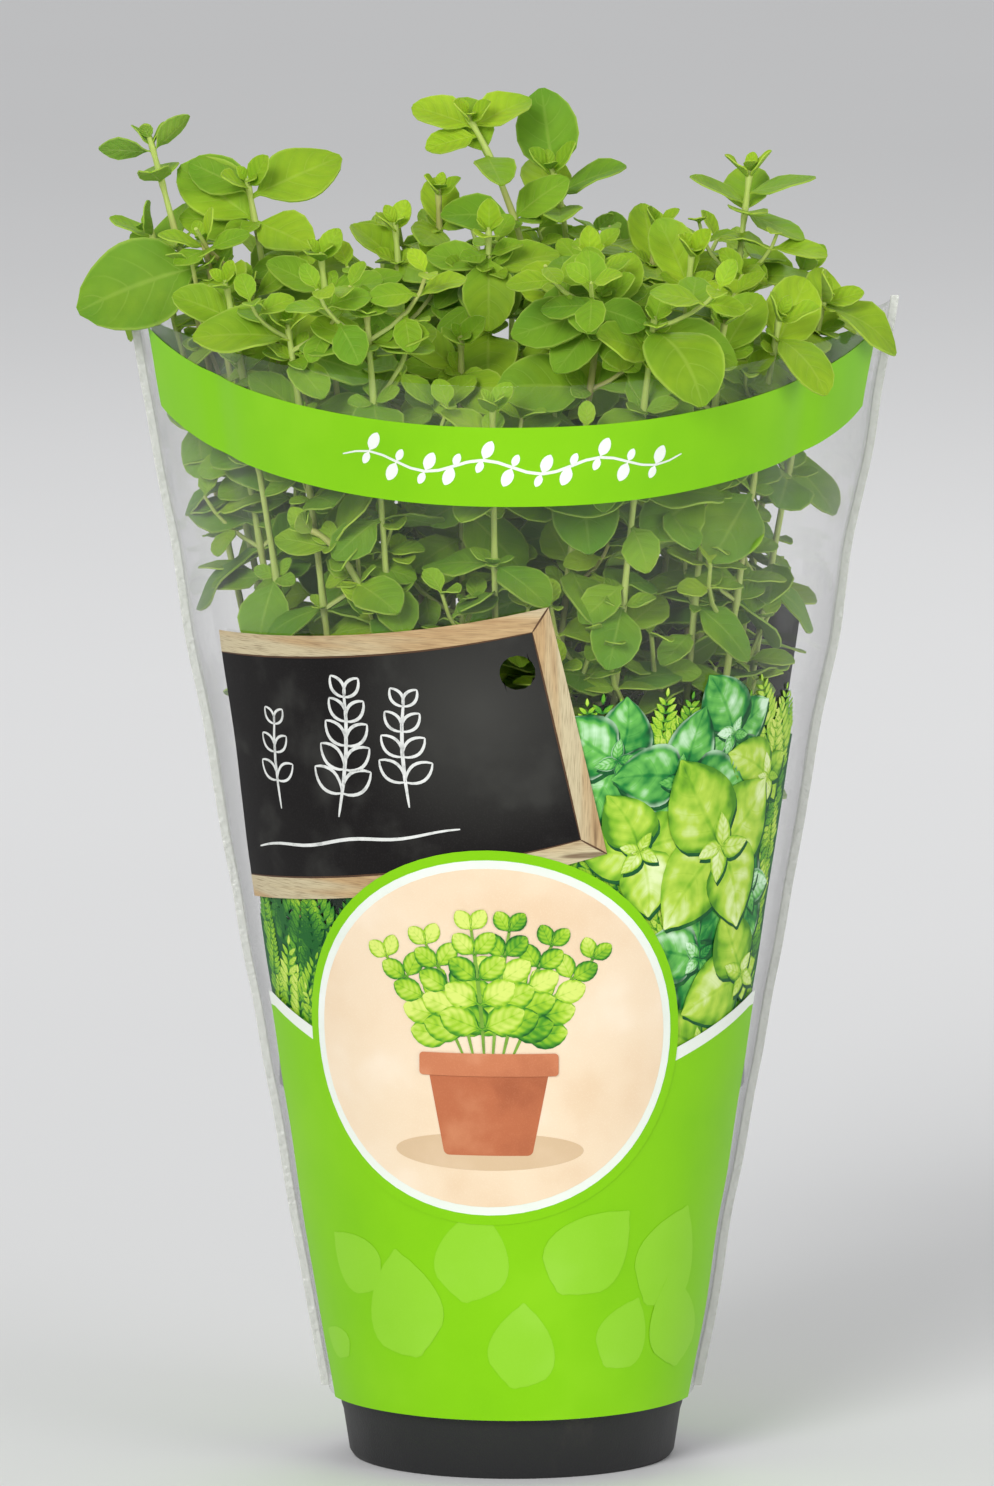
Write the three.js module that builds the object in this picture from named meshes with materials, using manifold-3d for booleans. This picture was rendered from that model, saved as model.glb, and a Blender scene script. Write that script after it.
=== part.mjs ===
// A marjoram plant in its nursery pot, inside the clear conical sleeve it is sold in.
//
// Millimetres, +Z up, front towards -Y. The origin is the centre of the pot's underside, where
// the pot stands on a table. Every shoot is a solid of its own: a stem and the leaves that grew on
// it. The shoots are planted in the soil, the soil fills the pot, and the sleeve is two film panels
// that lie together along their side seams and hang on the pot's lip.

import * as THREE from 'three';
import { mergeVertices } from 'three/addons/utils/BufferGeometryUtils.js';
import Module from 'manifold-3d';

const wasm = await Module();
wasm.setup();

// ---- Pot ----
const POT_HEIGHT = 104;
const POT_FOOT_RADIUS = 42;
const POT_FOOT_CHAMFER = 1.5;
const POT_TAPER = 0.1543; // radius gained for each millimetre of height
const POT_WALL = 1.2;
const POT_FLOOR = 1.6;
const POT_GUTTER = 2; // rise of the drained ring in the floor
const POT_PAD_RADIUS = 15; // flat pad in the middle of the underside
const POT_RING_RADIUS = 35; // inner edge of the flat ring that the pot stands on
const LIP_RADIUS = 60;
const LIP_HEIGHT = 7;
const LIP_WALL = 1.3;
const DRAIN_COUNT = 8;
const DRAIN_RADIUS = 3.5;
const DRAIN_CIRCLE = 25;
const DRAIN_SIDES = 12;
const ROUND_STEPS = 32; // sides of the pot and the soil, and twice those of a film panel

// ---- Soil ----
const SOIL_EDGE_HEIGHT = 92;
const SOIL_MIDDLE_HEIGHT = 94;
const SEAT_GAP = 0.35; // between pieces that rest on each other

// ---- Sleeve ----
const FILM = 0.4;
const SEAM_GAP = 0.4; // between the two panels where they lie together
const SEAM_WIDTH = 2;
const SLEEVE_LIP_RADIUS = 60.5; // inside, level with the underside of the pot's lip
const SLEEVE_TAPER = 0.1768;
const SLEEVE_CORNER_TOP = 301;
const SLEEVE_TOP_DIP = 13; // how much lower the rim is in the middle of a panel
const SLEEVE_BOTTOM = 16;
const SLEEVE_CORNER_LIFT = 1.5;
const SLEEVE_FLATTEN = 0.7; // how far the top flattens towards the seams
const SLEEVE_ROWS = [0, 0.28, 0.33, 0.5, 0.75, 1];
const PANEL_COLUMNS = ROUND_STEPS / 2;
const VENT_RADIUS = 4.5; // one round hole is punched through the front panel
const VENT_PLACE = [1.3, 214]; // across and up
const VENT_SIDES = 16;

// ---- Shoots ----
const STEM_SIDE = 1.6; // marjoram stems are nearly square
const STEM_STEPS = 6;
const BENT_STEM_STEPS = 12;
const STEM_BOW = [0.4, 0.55]; // middle of a stem's curve: its share of the spread, and of the height
const PLANTING_DEPTH = 8;
const LEAF_BASE_WIDTH = 0.9;
const LEAF_KEEL = 0.7; // depth of the blade's underside along the midrib
const LEAF_CLEARANCE = 0.25; // kept round every leaf when it is placed
const NODE_SHARE = 0.012; // leaves this near on one stem, as a share of its length, grow together
const LEAF_WIDTH = 0.62; // of the leaf's length
const LEAF_SECTIONS = [0, 0.3, 0.68, 1]; // places along the midrib
const LEAF_WIDTHS = [0, 0.97, 0.86, 0]; // of the full width, at those places

// How far leaves of one kind differ, from end to end: in degrees, and as a share of the length.
const HEADING_SPREAD = 30;
const PITCH_SPREAD = 20;
const ROLL_SPREAD = 24;
const LENGTH_SPREAD = 0.2;

// From the youngest pair at the tip downwards: size, angle above level and sweep of the midrib.
const PAIR_SIZE = [0.5, 0.95, 1.1, 1.1, 1.05, 1];
const PAIR_PITCH = [60, 32, 18, 10, 0, -8];
const PAIR_SWEEP = [15, 25, 35, 40, 45, 45];

// Where a leaf can't lie as first drawn, it turns, rises or shrinks until it is clear.
const LEAF_SHIFTS = [
  { turn: 0, pitch: 0, size: 1 },
  { turn: 14, pitch: 0, size: 1 },
  { turn: -14, pitch: 0, size: 1 },
  { turn: 0, pitch: 16, size: 1 },
  { turn: 0, pitch: -16, size: 1 },
  { turn: 24, pitch: 12, size: 0.92 },
  { turn: -24, pitch: 12, size: 0.92 },
  { turn: 24, pitch: -12, size: 0.9 },
  { turn: -24, pitch: -12, size: 0.9 },
  { turn: 0, pitch: 30, size: 0.85 },
  { turn: 36, pitch: 20, size: 0.8 },
  { turn: -36, pitch: 20, size: 0.8 },
  { turn: 0, pitch: -30, size: 0.7 },
  { turn: 20, pitch: 40, size: 0.7 },
  { turn: -20, pitch: 40, size: 0.7 },
  { turn: 0, pitch: 0, size: 0.6 },
];

// base: where the shoot leaves the soil. tip: its top. bend: the middle of its curve, where it
// doesn't simply lean outwards. lean: how far its crown nods sideways and forwards. leaf: length of
// its longest leaf. turn: heading of its top pair.
const SHOOTS = [
  { base: [-35, -33], tip: [-57, -54, 300], lean: [0, -1.2], pairs: 6, leaf: 21, turn: 5 },
  { base: [-24, -40], tip: [-37, -64, 305], lean: [0, -1.2], pairs: 6, leaf: 17, turn: 85 },
  { base: [-3, -42], tip: [-5, -74, 281], lean: [0, -0.5], pairs: 5, leaf: 17, turn: 60 },
  { base: [1, -34], tip: [23, -58, 308], lean: [0, -2.2], pairs: 6, leaf: 23, turn: 20 },
  { base: [17, -41], tip: [36, -68, 303], lean: [0.6, -1.8], pairs: 6, leaf: 21, turn: 100 },
  { base: [36, -31], tip: [54, -52, 301], lean: [0.4, -1.5], pairs: 6, leaf: 20, turn: 150 },
  { base: [42, -22], tip: [68, -44, 301], lean: [1, -1.5], pairs: 6, leaf: 23, turn: 0 },
  { base: [-42, -20], tip: [-73, -38, 309], lean: [-0.6, -2], pairs: 6, leaf: 17, turn: 60 },
  { base: [-44, -4], tip: [-79, -12, 317], lean: [-0.8, -1], pairs: 6, leaf: 25, turn: 5 },
  { base: [-46, 12], tip: [-93, 12, 317], lean: [-1.2, -0.6], pairs: 5, leaf: 24, turn: -20 },
  { base: [-40, 4], tip: [-93, 0, 342], lean: [-0.3, 0], pairs: 5, leaf: 15, turn: 0 },
  { base: [-34, 12], tip: [-68, 2, 331], lean: [0, -2.2], pairs: 5, leaf: 24, turn: 30 },
  { base: [-28, -14], tip: [-49, -18, 314], lean: [0, -1.6], pairs: 6, leaf: 18, turn: 60 },
  { base: [-16, -4], tip: [-30, -2, 320], lean: [0, -1.2], pairs: 5, leaf: 19, turn: 50 },
  { base: [-12, 14], tip: [-19, 10, 328], lean: [0.4, -1.2], pairs: 5, leaf: 17, turn: 0 },
  {
    base: [10, 14], bend: [26, 12, 290], tip: [-12, 10, 347],
    lean: [0.6, -1.6], pairs: 5, leaf: 18, turn: 20,
  },
  {
    base: [16, 26], bend: [24, 24, 290], tip: [10, 22, 332],
    lean: [0, -1], pairs: 5, leaf: 22, turn: 0,
  },
  { base: [-6, -14], tip: [-6, -14, 320], lean: [0, -1.6], pairs: 5, leaf: 21, turn: 90 },
  { base: [-12, -28], tip: [-13, -40, 295], lean: [0, -2.4], pairs: 6, leaf: 21, turn: 30 },
  { base: [24, 8], tip: [37, 12, 318], lean: [0.5, -1], pairs: 5, leaf: 19, turn: 20 },
  { base: [18, -16], tip: [20, -24, 314], lean: [0, -1.6], pairs: 6, leaf: 20, turn: 85 },
  { base: [38, -4], tip: [61, -4, 334], lean: [0, -0.6], pairs: 6, leaf: 19, turn: 0 },
  { base: [30, -12], tip: [46, -18, 315], lean: [0.3, -1.8], pairs: 5, leaf: 20, turn: 40 },
  { base: [44, 10], tip: [75, 12, 308], lean: [0.8, -0.8], pairs: 5, leaf: 21, turn: 70 },
  { base: [45, -8], tip: [80, -18, 303], lean: [1, -1], pairs: 6, leaf: 23, turn: 20 },
  { base: [-36, 30], tip: [-64, 50, 308], lean: [-0.6, 1], pairs: 5, leaf: 20, turn: 30 },
  { base: [-20, 38], tip: [-34, 66, 308], lean: [0, 1.4], pairs: 5, leaf: 20, turn: 75 },
  { base: [0, 44], tip: [0, 74, 302], lean: [0, 1.6], pairs: 5, leaf: 20, turn: 5 },
  { base: [18, 42], tip: [30, 66, 308], lean: [0, 1.4], pairs: 5, leaf: 20, turn: 45 },
  { base: [34, 30], tip: [58, 48, 307], lean: [0.6, 1], pairs: 5, leaf: 20, turn: 80 },
  { base: [4, 28], tip: [8, 44, 317], lean: [0, 0.6], pairs: 5, leaf: 18, turn: 25 },
  { base: [-16, 28], tip: [-20, 40, 314], lean: [0, 0.4], pairs: 5, leaf: 18, turn: 55 },
  {
    base: [-17, -40], bend: [-24, -61, 240], tip: [-52, -54, 247],
    lean: [-0.3, -1], pairs: 3, leaf: 19, turn: 100,
  },
];

// Leaves that stand out from their shoot's even pairs, by the number of the shoot.
const SINGLE_LEAVES = [
  { shoot: 1, along: 0.98, heading: 184, pitch: 24, sweep: 35, roll: 0, length: 25 },
  { shoot: 1, along: 0.965, heading: -12, pitch: -6, sweep: 25, roll: 0, length: 22 },
  { shoot: 2, along: 0.96, heading: 178, pitch: 5, sweep: 25, roll: 0, length: 18 },
  { shoot: 2, along: 0.96, heading: -6, pitch: 5, sweep: 25, roll: 0, length: 17 },
  { shoot: 4, along: 0.98, heading: 207, pitch: 5, sweep: 20, roll: 0, length: 24 },
  { shoot: 4, along: 0.98, heading: 72, pitch: 18, sweep: 20, roll: 0, length: 18 },
  { shoot: 4, along: 0.97, heading: 245, pitch: 0, sweep: 20, roll: 0, length: 19 },
  { shoot: 5, along: 0.98, heading: -62, pitch: 55, sweep: 95, roll: 0, length: 31 },
  { shoot: 5, along: 0.985, heading: -12, pitch: 5, sweep: 30, roll: 0, length: 24 },
  { shoot: 6, along: 0.74, heading: 190, pitch: -15, sweep: 20, roll: -50, length: 26 },
  { shoot: 7, along: 0.97, heading: -48, pitch: 25, sweep: 70, roll: 0, length: 23 },
  { shoot: 7, along: 0.62, heading: 215, pitch: -25, sweep: 20, roll: -50, length: 29 },
  { shoot: 9, along: 0.97, heading: 186, pitch: 16, sweep: 24, roll: -15, length: 36 },
  { shoot: 10, along: 0.98, heading: 185, pitch: -20, sweep: 40, roll: 0, length: 27 },
  { shoot: 11, along: 0.985, heading: 180, pitch: 25, sweep: 12, roll: 0, length: 14 },
  { shoot: 11, along: 0.985, heading: 5, pitch: 35, sweep: 12, roll: 0, length: 13 },
  { shoot: 12, along: 0.98, heading: 35, pitch: 12, sweep: 20, roll: 0, length: 26 },
  { shoot: 12, along: 0.985, heading: 138, pitch: 15, sweep: 20, roll: 0, length: 18 },
  { shoot: 12, along: 0.95, heading: 165, pitch: 10, sweep: 20, roll: 0, length: 20 },
  { shoot: 16, along: 0.985, heading: 150, pitch: 10, sweep: 20, roll: 0, length: 17 },
  { shoot: 16, along: 0.985, heading: 42, pitch: 12, sweep: 20, roll: 0, length: 18 },
  { shoot: 16, along: 0.975, heading: 205, pitch: 8, sweep: 20, roll: 0, length: 14 },
  { shoot: 17, along: 0.985, heading: 90, pitch: 62, sweep: 10, roll: 0, length: 24 },
  { shoot: 17, along: 0.97, heading: 0, pitch: 35, sweep: 30, roll: 0, length: 20 },
  { shoot: 18, along: 0.97, heading: 270, pitch: -12, sweep: 30, roll: 0, length: 21 },
  { shoot: 22, along: 0.975, heading: 2, pitch: 22, sweep: 10, roll: 0, length: 18 },
  { shoot: 22, along: 0.955, heading: -20, pitch: -5, sweep: 20, roll: 0, length: 17 },
  { shoot: 22, along: 0.965, heading: 178, pitch: 28, sweep: 10, roll: 0, length: 16 },
  { shoot: 25, along: 0.985, heading: -25, pitch: 32, sweep: 70, roll: 0, length: 24 },
];

const POT_BLACK = { color: 0x1b1b1c, roughness: 0.55, metalness: 0 };
const SOIL_BROWN = { color: 0x3a2a1e, roughness: 0.95, metalness: 0 };
const FILM_CLEAR = { color: 0xa9cf6a, roughness: 0.15, metalness: 0, transparent: true, opacity: 0.5 };
const LEAF_GREEN = { color: 0x86b03c, roughness: 0.6, metalness: 0 };

// ---- Solids ----

// Merges shared corners and drops the triangles that have collapsed at a pole.
function mergeCorners(geometry) {
  const bare = geometry.clone();
  bare.deleteAttribute('normal');
  bare.deleteAttribute('uv');
  const merged = mergeVertices(bare, 1e-4);
  const corners = merged.index.array;
  const kept = [];
  for (let i = 0; i < corners.length; i += 3) {
    const [a, b, c] = [corners[i], corners[i + 1], corners[i + 2]];
    if (a !== b && b !== c && c !== a) {
      kept.push(a, b, c);
    }
  }
  merged.setIndex(kept);
  return merged;
}

function toSolid(geometry) {
  const merged = mergeCorners(geometry);
  const mesh = new wasm.Mesh({
    numProp: 3,
    vertProperties: merged.attributes.position.array,
    triVerts: new Uint32Array(merged.index.array),
  });
  return new wasm.Manifold(mesh);
}

function toGeometry(solid) {
  const mesh = solid.getMesh();
  const geometry = new THREE.BufferGeometry();
  geometry.setAttribute('position', new THREE.BufferAttribute(mesh.vertProperties, 3));
  geometry.setIndex(new THREE.BufferAttribute(mesh.triVerts, 1));
  geometry.computeVertexNormals();
  return geometry;
}

function piece(name, solid, look) {
  const mesh = new THREE.Mesh(toGeometry(solid), new THREE.MeshStandardMaterial(look));
  mesh.name = name;
  return mesh;
}

// Turns an outline of [radius, height] points into a solid round the Z axis.
function turned(outline) {
  const points = outline.map(([radius, height]) => new THREE.Vector2(radius, height));
  return toSolid(new THREE.LatheGeometry(points, ROUND_STEPS).rotateX(Math.PI / 2));
}

// ---- Pot ----

function potOuterRadius(height) {
  return POT_FOOT_RADIUS + POT_TAPER * (height - POT_FOOT_CHAMFER);
}

function potInnerRadius(height) {
  return potOuterRadius(height) - POT_WALL;
}

function makePot() {
  const lipUnderside = POT_HEIGHT - LIP_HEIGHT;
  const lipRoot = POT_HEIGHT - LIP_WALL;
  const gutterFloor = POT_GUTTER + POT_FLOOR;
  const innerFoot = POT_FLOOR + 0.8;
  const shell = turned([
    [0, 0],
    [POT_PAD_RADIUS, 0],
    [POT_PAD_RADIUS + 2, POT_GUTTER],
    [POT_RING_RADIUS - 2, POT_GUTTER],
    [POT_RING_RADIUS, 0],
    [POT_FOOT_RADIUS - 1, 0],
    [POT_FOOT_RADIUS, POT_FOOT_CHAMFER],
    [potOuterRadius(lipRoot), lipRoot],
    [LIP_RADIUS - LIP_WALL, lipRoot],
    [LIP_RADIUS - LIP_WALL, lipUnderside],
    [LIP_RADIUS, lipUnderside],
    [LIP_RADIUS, POT_HEIGHT],
    [potInnerRadius(POT_HEIGHT), POT_HEIGHT],
    [potInnerRadius(innerFoot), innerFoot],
    [POT_RING_RADIUS + 1, POT_FLOOR],
    [POT_RING_RADIUS - 1, gutterFloor],
    [POT_PAD_RADIUS + 1, gutterFloor],
    [POT_PAD_RADIUS - 1, POT_FLOOR],
    [0, POT_FLOOR],
  ]);
  let pot = shell;
  for (let i = 0; i < DRAIN_COUNT; i += 1) {
    const angle = ((i + 0.5) / DRAIN_COUNT) * Math.PI * 2;
    const drill = new THREE.CylinderGeometry(DRAIN_RADIUS, DRAIN_RADIUS, POT_RING_RADIUS, DRAIN_SIDES);
    drill.rotateX(Math.PI / 2);
    drill.translate(DRAIN_CIRCLE * Math.cos(angle), DRAIN_CIRCLE * Math.sin(angle), 0);
    pot = pot.subtract(toSolid(drill));
  }
  return pot;
}

// ---- Soil ----

// The soil fills the pot and has a hole for each stem.
function makeSoil(stems) {
  const floor = POT_GUTTER + POT_FLOOR + SEAT_GAP;
  let soil = turned([
    [0, floor],
    [potInnerRadius(floor) - SEAT_GAP, floor],
    [potInnerRadius(SOIL_EDGE_HEIGHT) - SEAT_GAP, SOIL_EDGE_HEIGHT],
    [0, SOIL_MIDDLE_HEIGHT],
  ]);
  for (const stem of stems) {
    soil = soil.subtract(stem.hole);
  }
  return soil;
}

function soilHeight(x, y) {
  const share = Math.hypot(x, y) / potInnerRadius(SOIL_EDGE_HEIGHT);
  return SOIL_MIDDLE_HEIGHT + (SOIL_EDGE_HEIGHT - SOIL_MIDDLE_HEIGHT) * share;
}

// ---- Sleeve ----

function sleeveHalfWidth(height) {
  return SLEEVE_LIP_RADIUS + SLEEVE_TAPER * (height - (POT_HEIGHT - LIP_HEIGHT));
}

// Round at the pot's lip, and pressed flatter towards the seams near the top.
function sleeveBulge(angle, height) {
  const lip = POT_HEIGHT - LIP_HEIGHT;
  const share = THREE.MathUtils.smoothstep(height, lip, SLEEVE_CORNER_TOP);
  return Math.max(Math.sin(angle), 0) ** (1 + SLEEVE_FLATTEN * share);
}

function sleeveTop(angle) {
  const fromMiddle = (angle - Math.PI / 2) / (Math.PI / 2);
  return SLEEVE_CORNER_TOP - SLEEVE_TOP_DIP * (1 - fromMiddle ** 2);
}

function sleeveBottom(angle) {
  const fromMiddle = (angle - Math.PI / 2) / (Math.PI / 2);
  return SLEEVE_BOTTOM + SLEEVE_CORNER_LIFT * fromMiddle ** 2;
}

// A box splits the squares of its last face along the other diagonal, as seen from the first side.
// Turned the same way, both faces of a thin twisted sheet stay parallel.
function matchDiagonals(box) {
  const { start, count } = box.groups[box.groups.length - 1];
  const corners = box.index.array;
  for (let i = start; i < start + count; i += 6) {
    const [a, b, d, , c] = corners.slice(i, i + 6);
    corners.set([a, b, c, a, c, d], i);
  }
}

// One panel of film. side is -1 for the front and 1 for the back. A thin box is bent to shape: its
// first and last columns are the seam strips, and the rest go round from left to right.
function makePanel(side) {
  const columns = PANEL_COLUMNS + 2;
  const rows = SLEEVE_ROWS.length - 1;
  const box = new THREE.BoxGeometry(1, 1, 1, columns, rows, 1);
  matchDiagonals(box);
  const corners = box.attributes.position;
  for (let i = 0; i < corners.count; i += 1) {
    const column = Math.round((corners.getX(i) + 0.5) * columns);
    const row = Math.round((corners.getY(i) + 0.5) * rows);
    const outer = (corners.getZ(i) > 0) === (side < 0);
    const step = THREE.MathUtils.clamp(column - 1, 0, PANEL_COLUMNS);
    const angle = (step / PANEL_COLUMNS) * Math.PI;
    const bottom = sleeveBottom(angle);
    const height = bottom + SLEEVE_ROWS[row] * (sleeveTop(angle) - bottom);
    const half = sleeveHalfWidth(height);
    const thick = outer ? FILM : 0;
    let x = -(half + thick) * Math.cos(angle);
    if (column === 0) {
      x = -half - SEAM_WIDTH;
    }
    if (column === columns) {
      x = half + SEAM_WIDTH;
    }
    const y = side * (SEAM_GAP / 2 + thick + half * sleeveBulge(angle, height));
    corners.setXYZ(i, x, y, height);
  }
  return toSolid(box);
}

function punchVent(panel) {
  const punch = new THREE.CylinderGeometry(VENT_RADIUS, VENT_RADIUS, SLEEVE_LIP_RADIUS, VENT_SIDES);
  const [across, height] = VENT_PLACE;
  punch.translate(across, -sleeveHalfWidth(height), height);
  return panel.subtract(toSolid(punch));
}

// ---- Shoots ----

// A repeatable number from -0.5 to 0.5 for a shoot and one of its leaves.
function vary(shoot, leaf) {
  const wave = Math.sin(shoot * 12.9898 + leaf * 78.233) * 43758.5453;
  return wave - Math.floor(wave) - 0.5;
}

function stemCurve(shoot, sink) {
  const [x, y] = shoot.base;
  const start = new THREE.Vector3(x, y, soilHeight(x, y) - PLANTING_DEPTH - sink);
  const end = new THREE.Vector3(...shoot.tip);
  const middle = new THREE.Vector3(
    x + STEM_BOW[0] * (end.x - x),
    y + STEM_BOW[0] * (end.y - y),
    start.z + STEM_BOW[1] * (end.z - start.z),
  );
  if (shoot.bend) {
    middle.set(...shoot.bend);
  }
  return new THREE.QuadraticBezierCurve3(start, middle, end);
}

function stemSteps(shoot) {
  return shoot.bend ? BENT_STEM_STEPS : STEM_STEPS;
}

// The point on the stem at a share of its length, along the straight steps that the bar follows.
function stemPoint(shoot, along) {
  const steps = stemSteps(shoot);
  const points = stemCurve(shoot, 0).getSpacedPoints(steps);
  const step = Math.min(Math.floor(along * steps), steps - 1);
  return points[step].clone().lerp(points[step + 1], along * steps - step);
}

// A square bar along the stem's curve.
function stemBar(curve, side, steps) {
  const half = side / 2;
  const section = new THREE.Shape();
  section.moveTo(-half, -half);
  section.lineTo(half, -half);
  section.lineTo(half, half);
  section.lineTo(-half, half);
  section.closePath();
  const options = { steps, bevelEnabled: false, extrudePath: curve };
  return toSolid(new THREE.ExtrudeGeometry(section, options));
}

function makeStem(shoot) {
  const steps = stemSteps(shoot);
  const bar = stemBar(stemCurve(shoot, 0), STEM_SIDE, steps);
  const hole = stemBar(stemCurve(shoot, SEAT_GAP), STEM_SIDE + 2 * SEAT_GAP, steps);
  return { bar, hole };
}

// Where along the stem the leaf pairs sit, from 1 at the tip to 0 at the foot.
function pairPlace(pair) {
  return 1 - (0.01 + 0.02 * pair + 0.016 * pair ** 2);
}

// Opposite leaves share a place on the stem, and each pair is turned a quarter from the pair above.
function pairLeaf(number, pair, half) {
  const shoot = SHOOTS[number];
  const leaf = 2 * pair + half;
  return {
    along: pairPlace(pair),
    heading: shoot.turn + 90 * pair + 180 * half + HEADING_SPREAD * vary(number, leaf),
    pitch: PAIR_PITCH[pair] + PITCH_SPREAD * vary(number + 100, leaf),
    sweep: PAIR_SWEEP[pair],
    roll: ROLL_SPREAD * vary(number + 150, leaf),
    length: shoot.leaf * PAIR_SIZE[pair] * (1 + LENGTH_SPREAD * vary(number + 50, leaf)),
  };
}

// Where a leaf starts, its own directions and its curve. The crown nods more than the lower stem.
function leafStance(shoot, leaf, shift) {
  const nod = Math.max(0, 1 - 1.2 * (1 - leaf.along));
  const crown = new THREE.Vector3(shoot.lean[0] * nod, shoot.lean[1] * nod, 1);
  const up = stemCurve(shoot, 0).getTangentAt(leaf.along).add(crown).normalize();
  const heading = THREE.MathUtils.degToRad(leaf.heading + shift.turn);
  const level = new THREE.Vector3(Math.cos(heading), Math.sin(heading), 0);
  const out = level.addScaledVector(up, -level.dot(up)).normalize();
  const radians = THREE.MathUtils.degToRad;
  return {
    start: stemPoint(shoot, leaf.along),
    up,
    out,
    across: new THREE.Vector3().crossVectors(out, up),
    length: leaf.length * shift.size,
    pitch: radians(leaf.pitch + shift.pitch),
    sweep: radians(leaf.sweep),
    roll: radians(leaf.roll),
  };
}

// A leaf is a three-sided cone pressed into a blade: two corners of each section are the leaf's
// edges and the third is its keel. The midrib is an arc that starts at the pitch and droops by
// the sweep.
function makeLeaf(stance, clearance) {
  const spans = LEAF_SECTIONS.length - 1;
  const cone = new THREE.ConeGeometry(1, 1, 3, spans);
  const corners = cone.attributes.position;
  const arc = stance.length / stance.sweep;
  for (let i = 0; i < corners.count; i += 1) {
    const section = Math.round((corners.getY(i) + 0.5) * spans);
    const edge = Math.sign(Math.round(-corners.getX(i) * 10));
    const below = corners.getZ(i) > 0.01 ? 1 : 0;
    const middle = edge === 0 && below === 0 ? 1 / 3 : 0;
    const share = LEAF_SECTIONS[section] * (1 + clearance / stance.length);
    const tilt = stance.pitch - stance.sweep * share;
    const full = LEAF_WIDTH * stance.length * LEAF_WIDTHS[section];
    const wide = section < spans ? (edge * Math.max(full, LEAF_BASE_WIDTH)) / 2 + edge * clearance : 0;
    const deep = section < spans ? (below + middle) * LEAF_KEEL + (2 * below - 1) * clearance : 0;
    const reach = arc * (Math.sin(stance.pitch) - Math.sin(tilt));
    const rise = arc * (Math.cos(tilt) - Math.cos(stance.pitch));
    const normalOut = -Math.sin(tilt);
    const normalUp = Math.cos(tilt);
    const sideways = wide * Math.cos(stance.roll) + deep * Math.sin(stance.roll);
    const lifted = wide * Math.sin(stance.roll) - deep * Math.cos(stance.roll);
    const point = stance.start.clone();
    point.addScaledVector(stance.out, reach + lifted * normalOut);
    point.addScaledVector(stance.up, rise + lifted * normalUp);
    point.addScaledVector(stance.across, sideways);
    corners.setXYZ(i, point.x, point.y, point.z);
  }
  return toSolid(cone);
}

function boxesMeet(one, other) {
  return [0, 1, 2].every((i) => one.min[i] <= other.max[i] && other.min[i] <= one.max[i]);
}

function isClear(solid, obstacles) {
  const box = solid.boundingBox();
  const near = obstacles.filter((other) => boxesMeet(box, other.box));
  return near.every((other) => solid.intersect(other.solid).isEmpty());
}

function obstacle(solid) {
  return { solid, box: solid.boundingBox() };
}

// Every leaf with the shoot that it grows on: single leaves first, then the pairs from the tips
// down, so that what shows most keeps its natural stance.
function listLeaves() {
  const leaves = SINGLE_LEAVES.map((leaf) => ({ ...leaf, number: leaf.shoot - 1 }));
  for (let pair = 0; pair < PAIR_SIZE.length; pair += 1) {
    SHOOTS.forEach((shoot, number) => {
      if (pair < shoot.pairs) {
        leaves.push({ ...pairLeaf(number, pair, 0), number });
        leaves.push({ ...pairLeaf(number, pair, 1), number });
      }
    });
  }
  return leaves;
}

function growTogether(one, other) {
  return one.number === other.number && Math.abs(one.along - other.along) < NODE_SHARE;
}

// A leaf that fits nowhere is left out: the shoot is bare there, as crowded shoots are.
function growShoots(stems, surroundings) {
  const solids = stems.map((stem) => stem.bar);
  const fixed = surroundings.map((solid) => obstacle(solid));
  const bars = stems.map((stem) => obstacle(stem.bar));
  const grown = [];
  for (const leaf of listLeaves()) {
    const otherBars = bars.filter((bar, number) => number !== leaf.number);
    const otherLeaves = grown.filter(({ grower }) => !growTogether(grower, leaf));
    const obstacles = [...fixed, ...otherBars, ...otherLeaves];
    for (const shift of LEAF_SHIFTS) {
      const stance = leafStance(SHOOTS[leaf.number], leaf, shift);
      if (isClear(makeLeaf(stance, LEAF_CLEARANCE), obstacles)) {
        const blade = makeLeaf(stance, 0);
        solids[leaf.number] = solids[leaf.number].add(blade);
        grown.push({ ...obstacle(blade), grower: leaf });
        break;
      }
    }
  }
  return solids;
}

// ---- Assembly ----

const stems = SHOOTS.map(makeStem);
const pot = makePot();
const soil = makeSoil(stems);
const frontPanel = punchVent(makePanel(-1));
const backPanel = makePanel(1);
const shoots = growShoots(stems, [pot, soil, frontPanel, backPanel]);

const plant = new THREE.Group();
plant.add(piece('nursery_pot', pot, POT_BLACK));
plant.add(piece('soil', soil, SOIL_BROWN));
plant.add(piece('sleeve_front_panel', frontPanel, FILM_CLEAR));
plant.add(piece('sleeve_back_panel', backPanel, FILM_CLEAR));
shoots.forEach((shoot, number) => {
  const name = `marjoram_shoot_${String(number + 1).padStart(2, '0')}`;
  plant.add(piece(name, shoot, LEAF_GREEN));
});

export default plant;
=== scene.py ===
import math
import random
from bisect import bisect_right
from collections import namedtuple
from itertools import accumulate

import bmesh
import bpy
from mathutils import Matrix, Vector, noise
from mathutils.kdtree import KDTree


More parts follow.
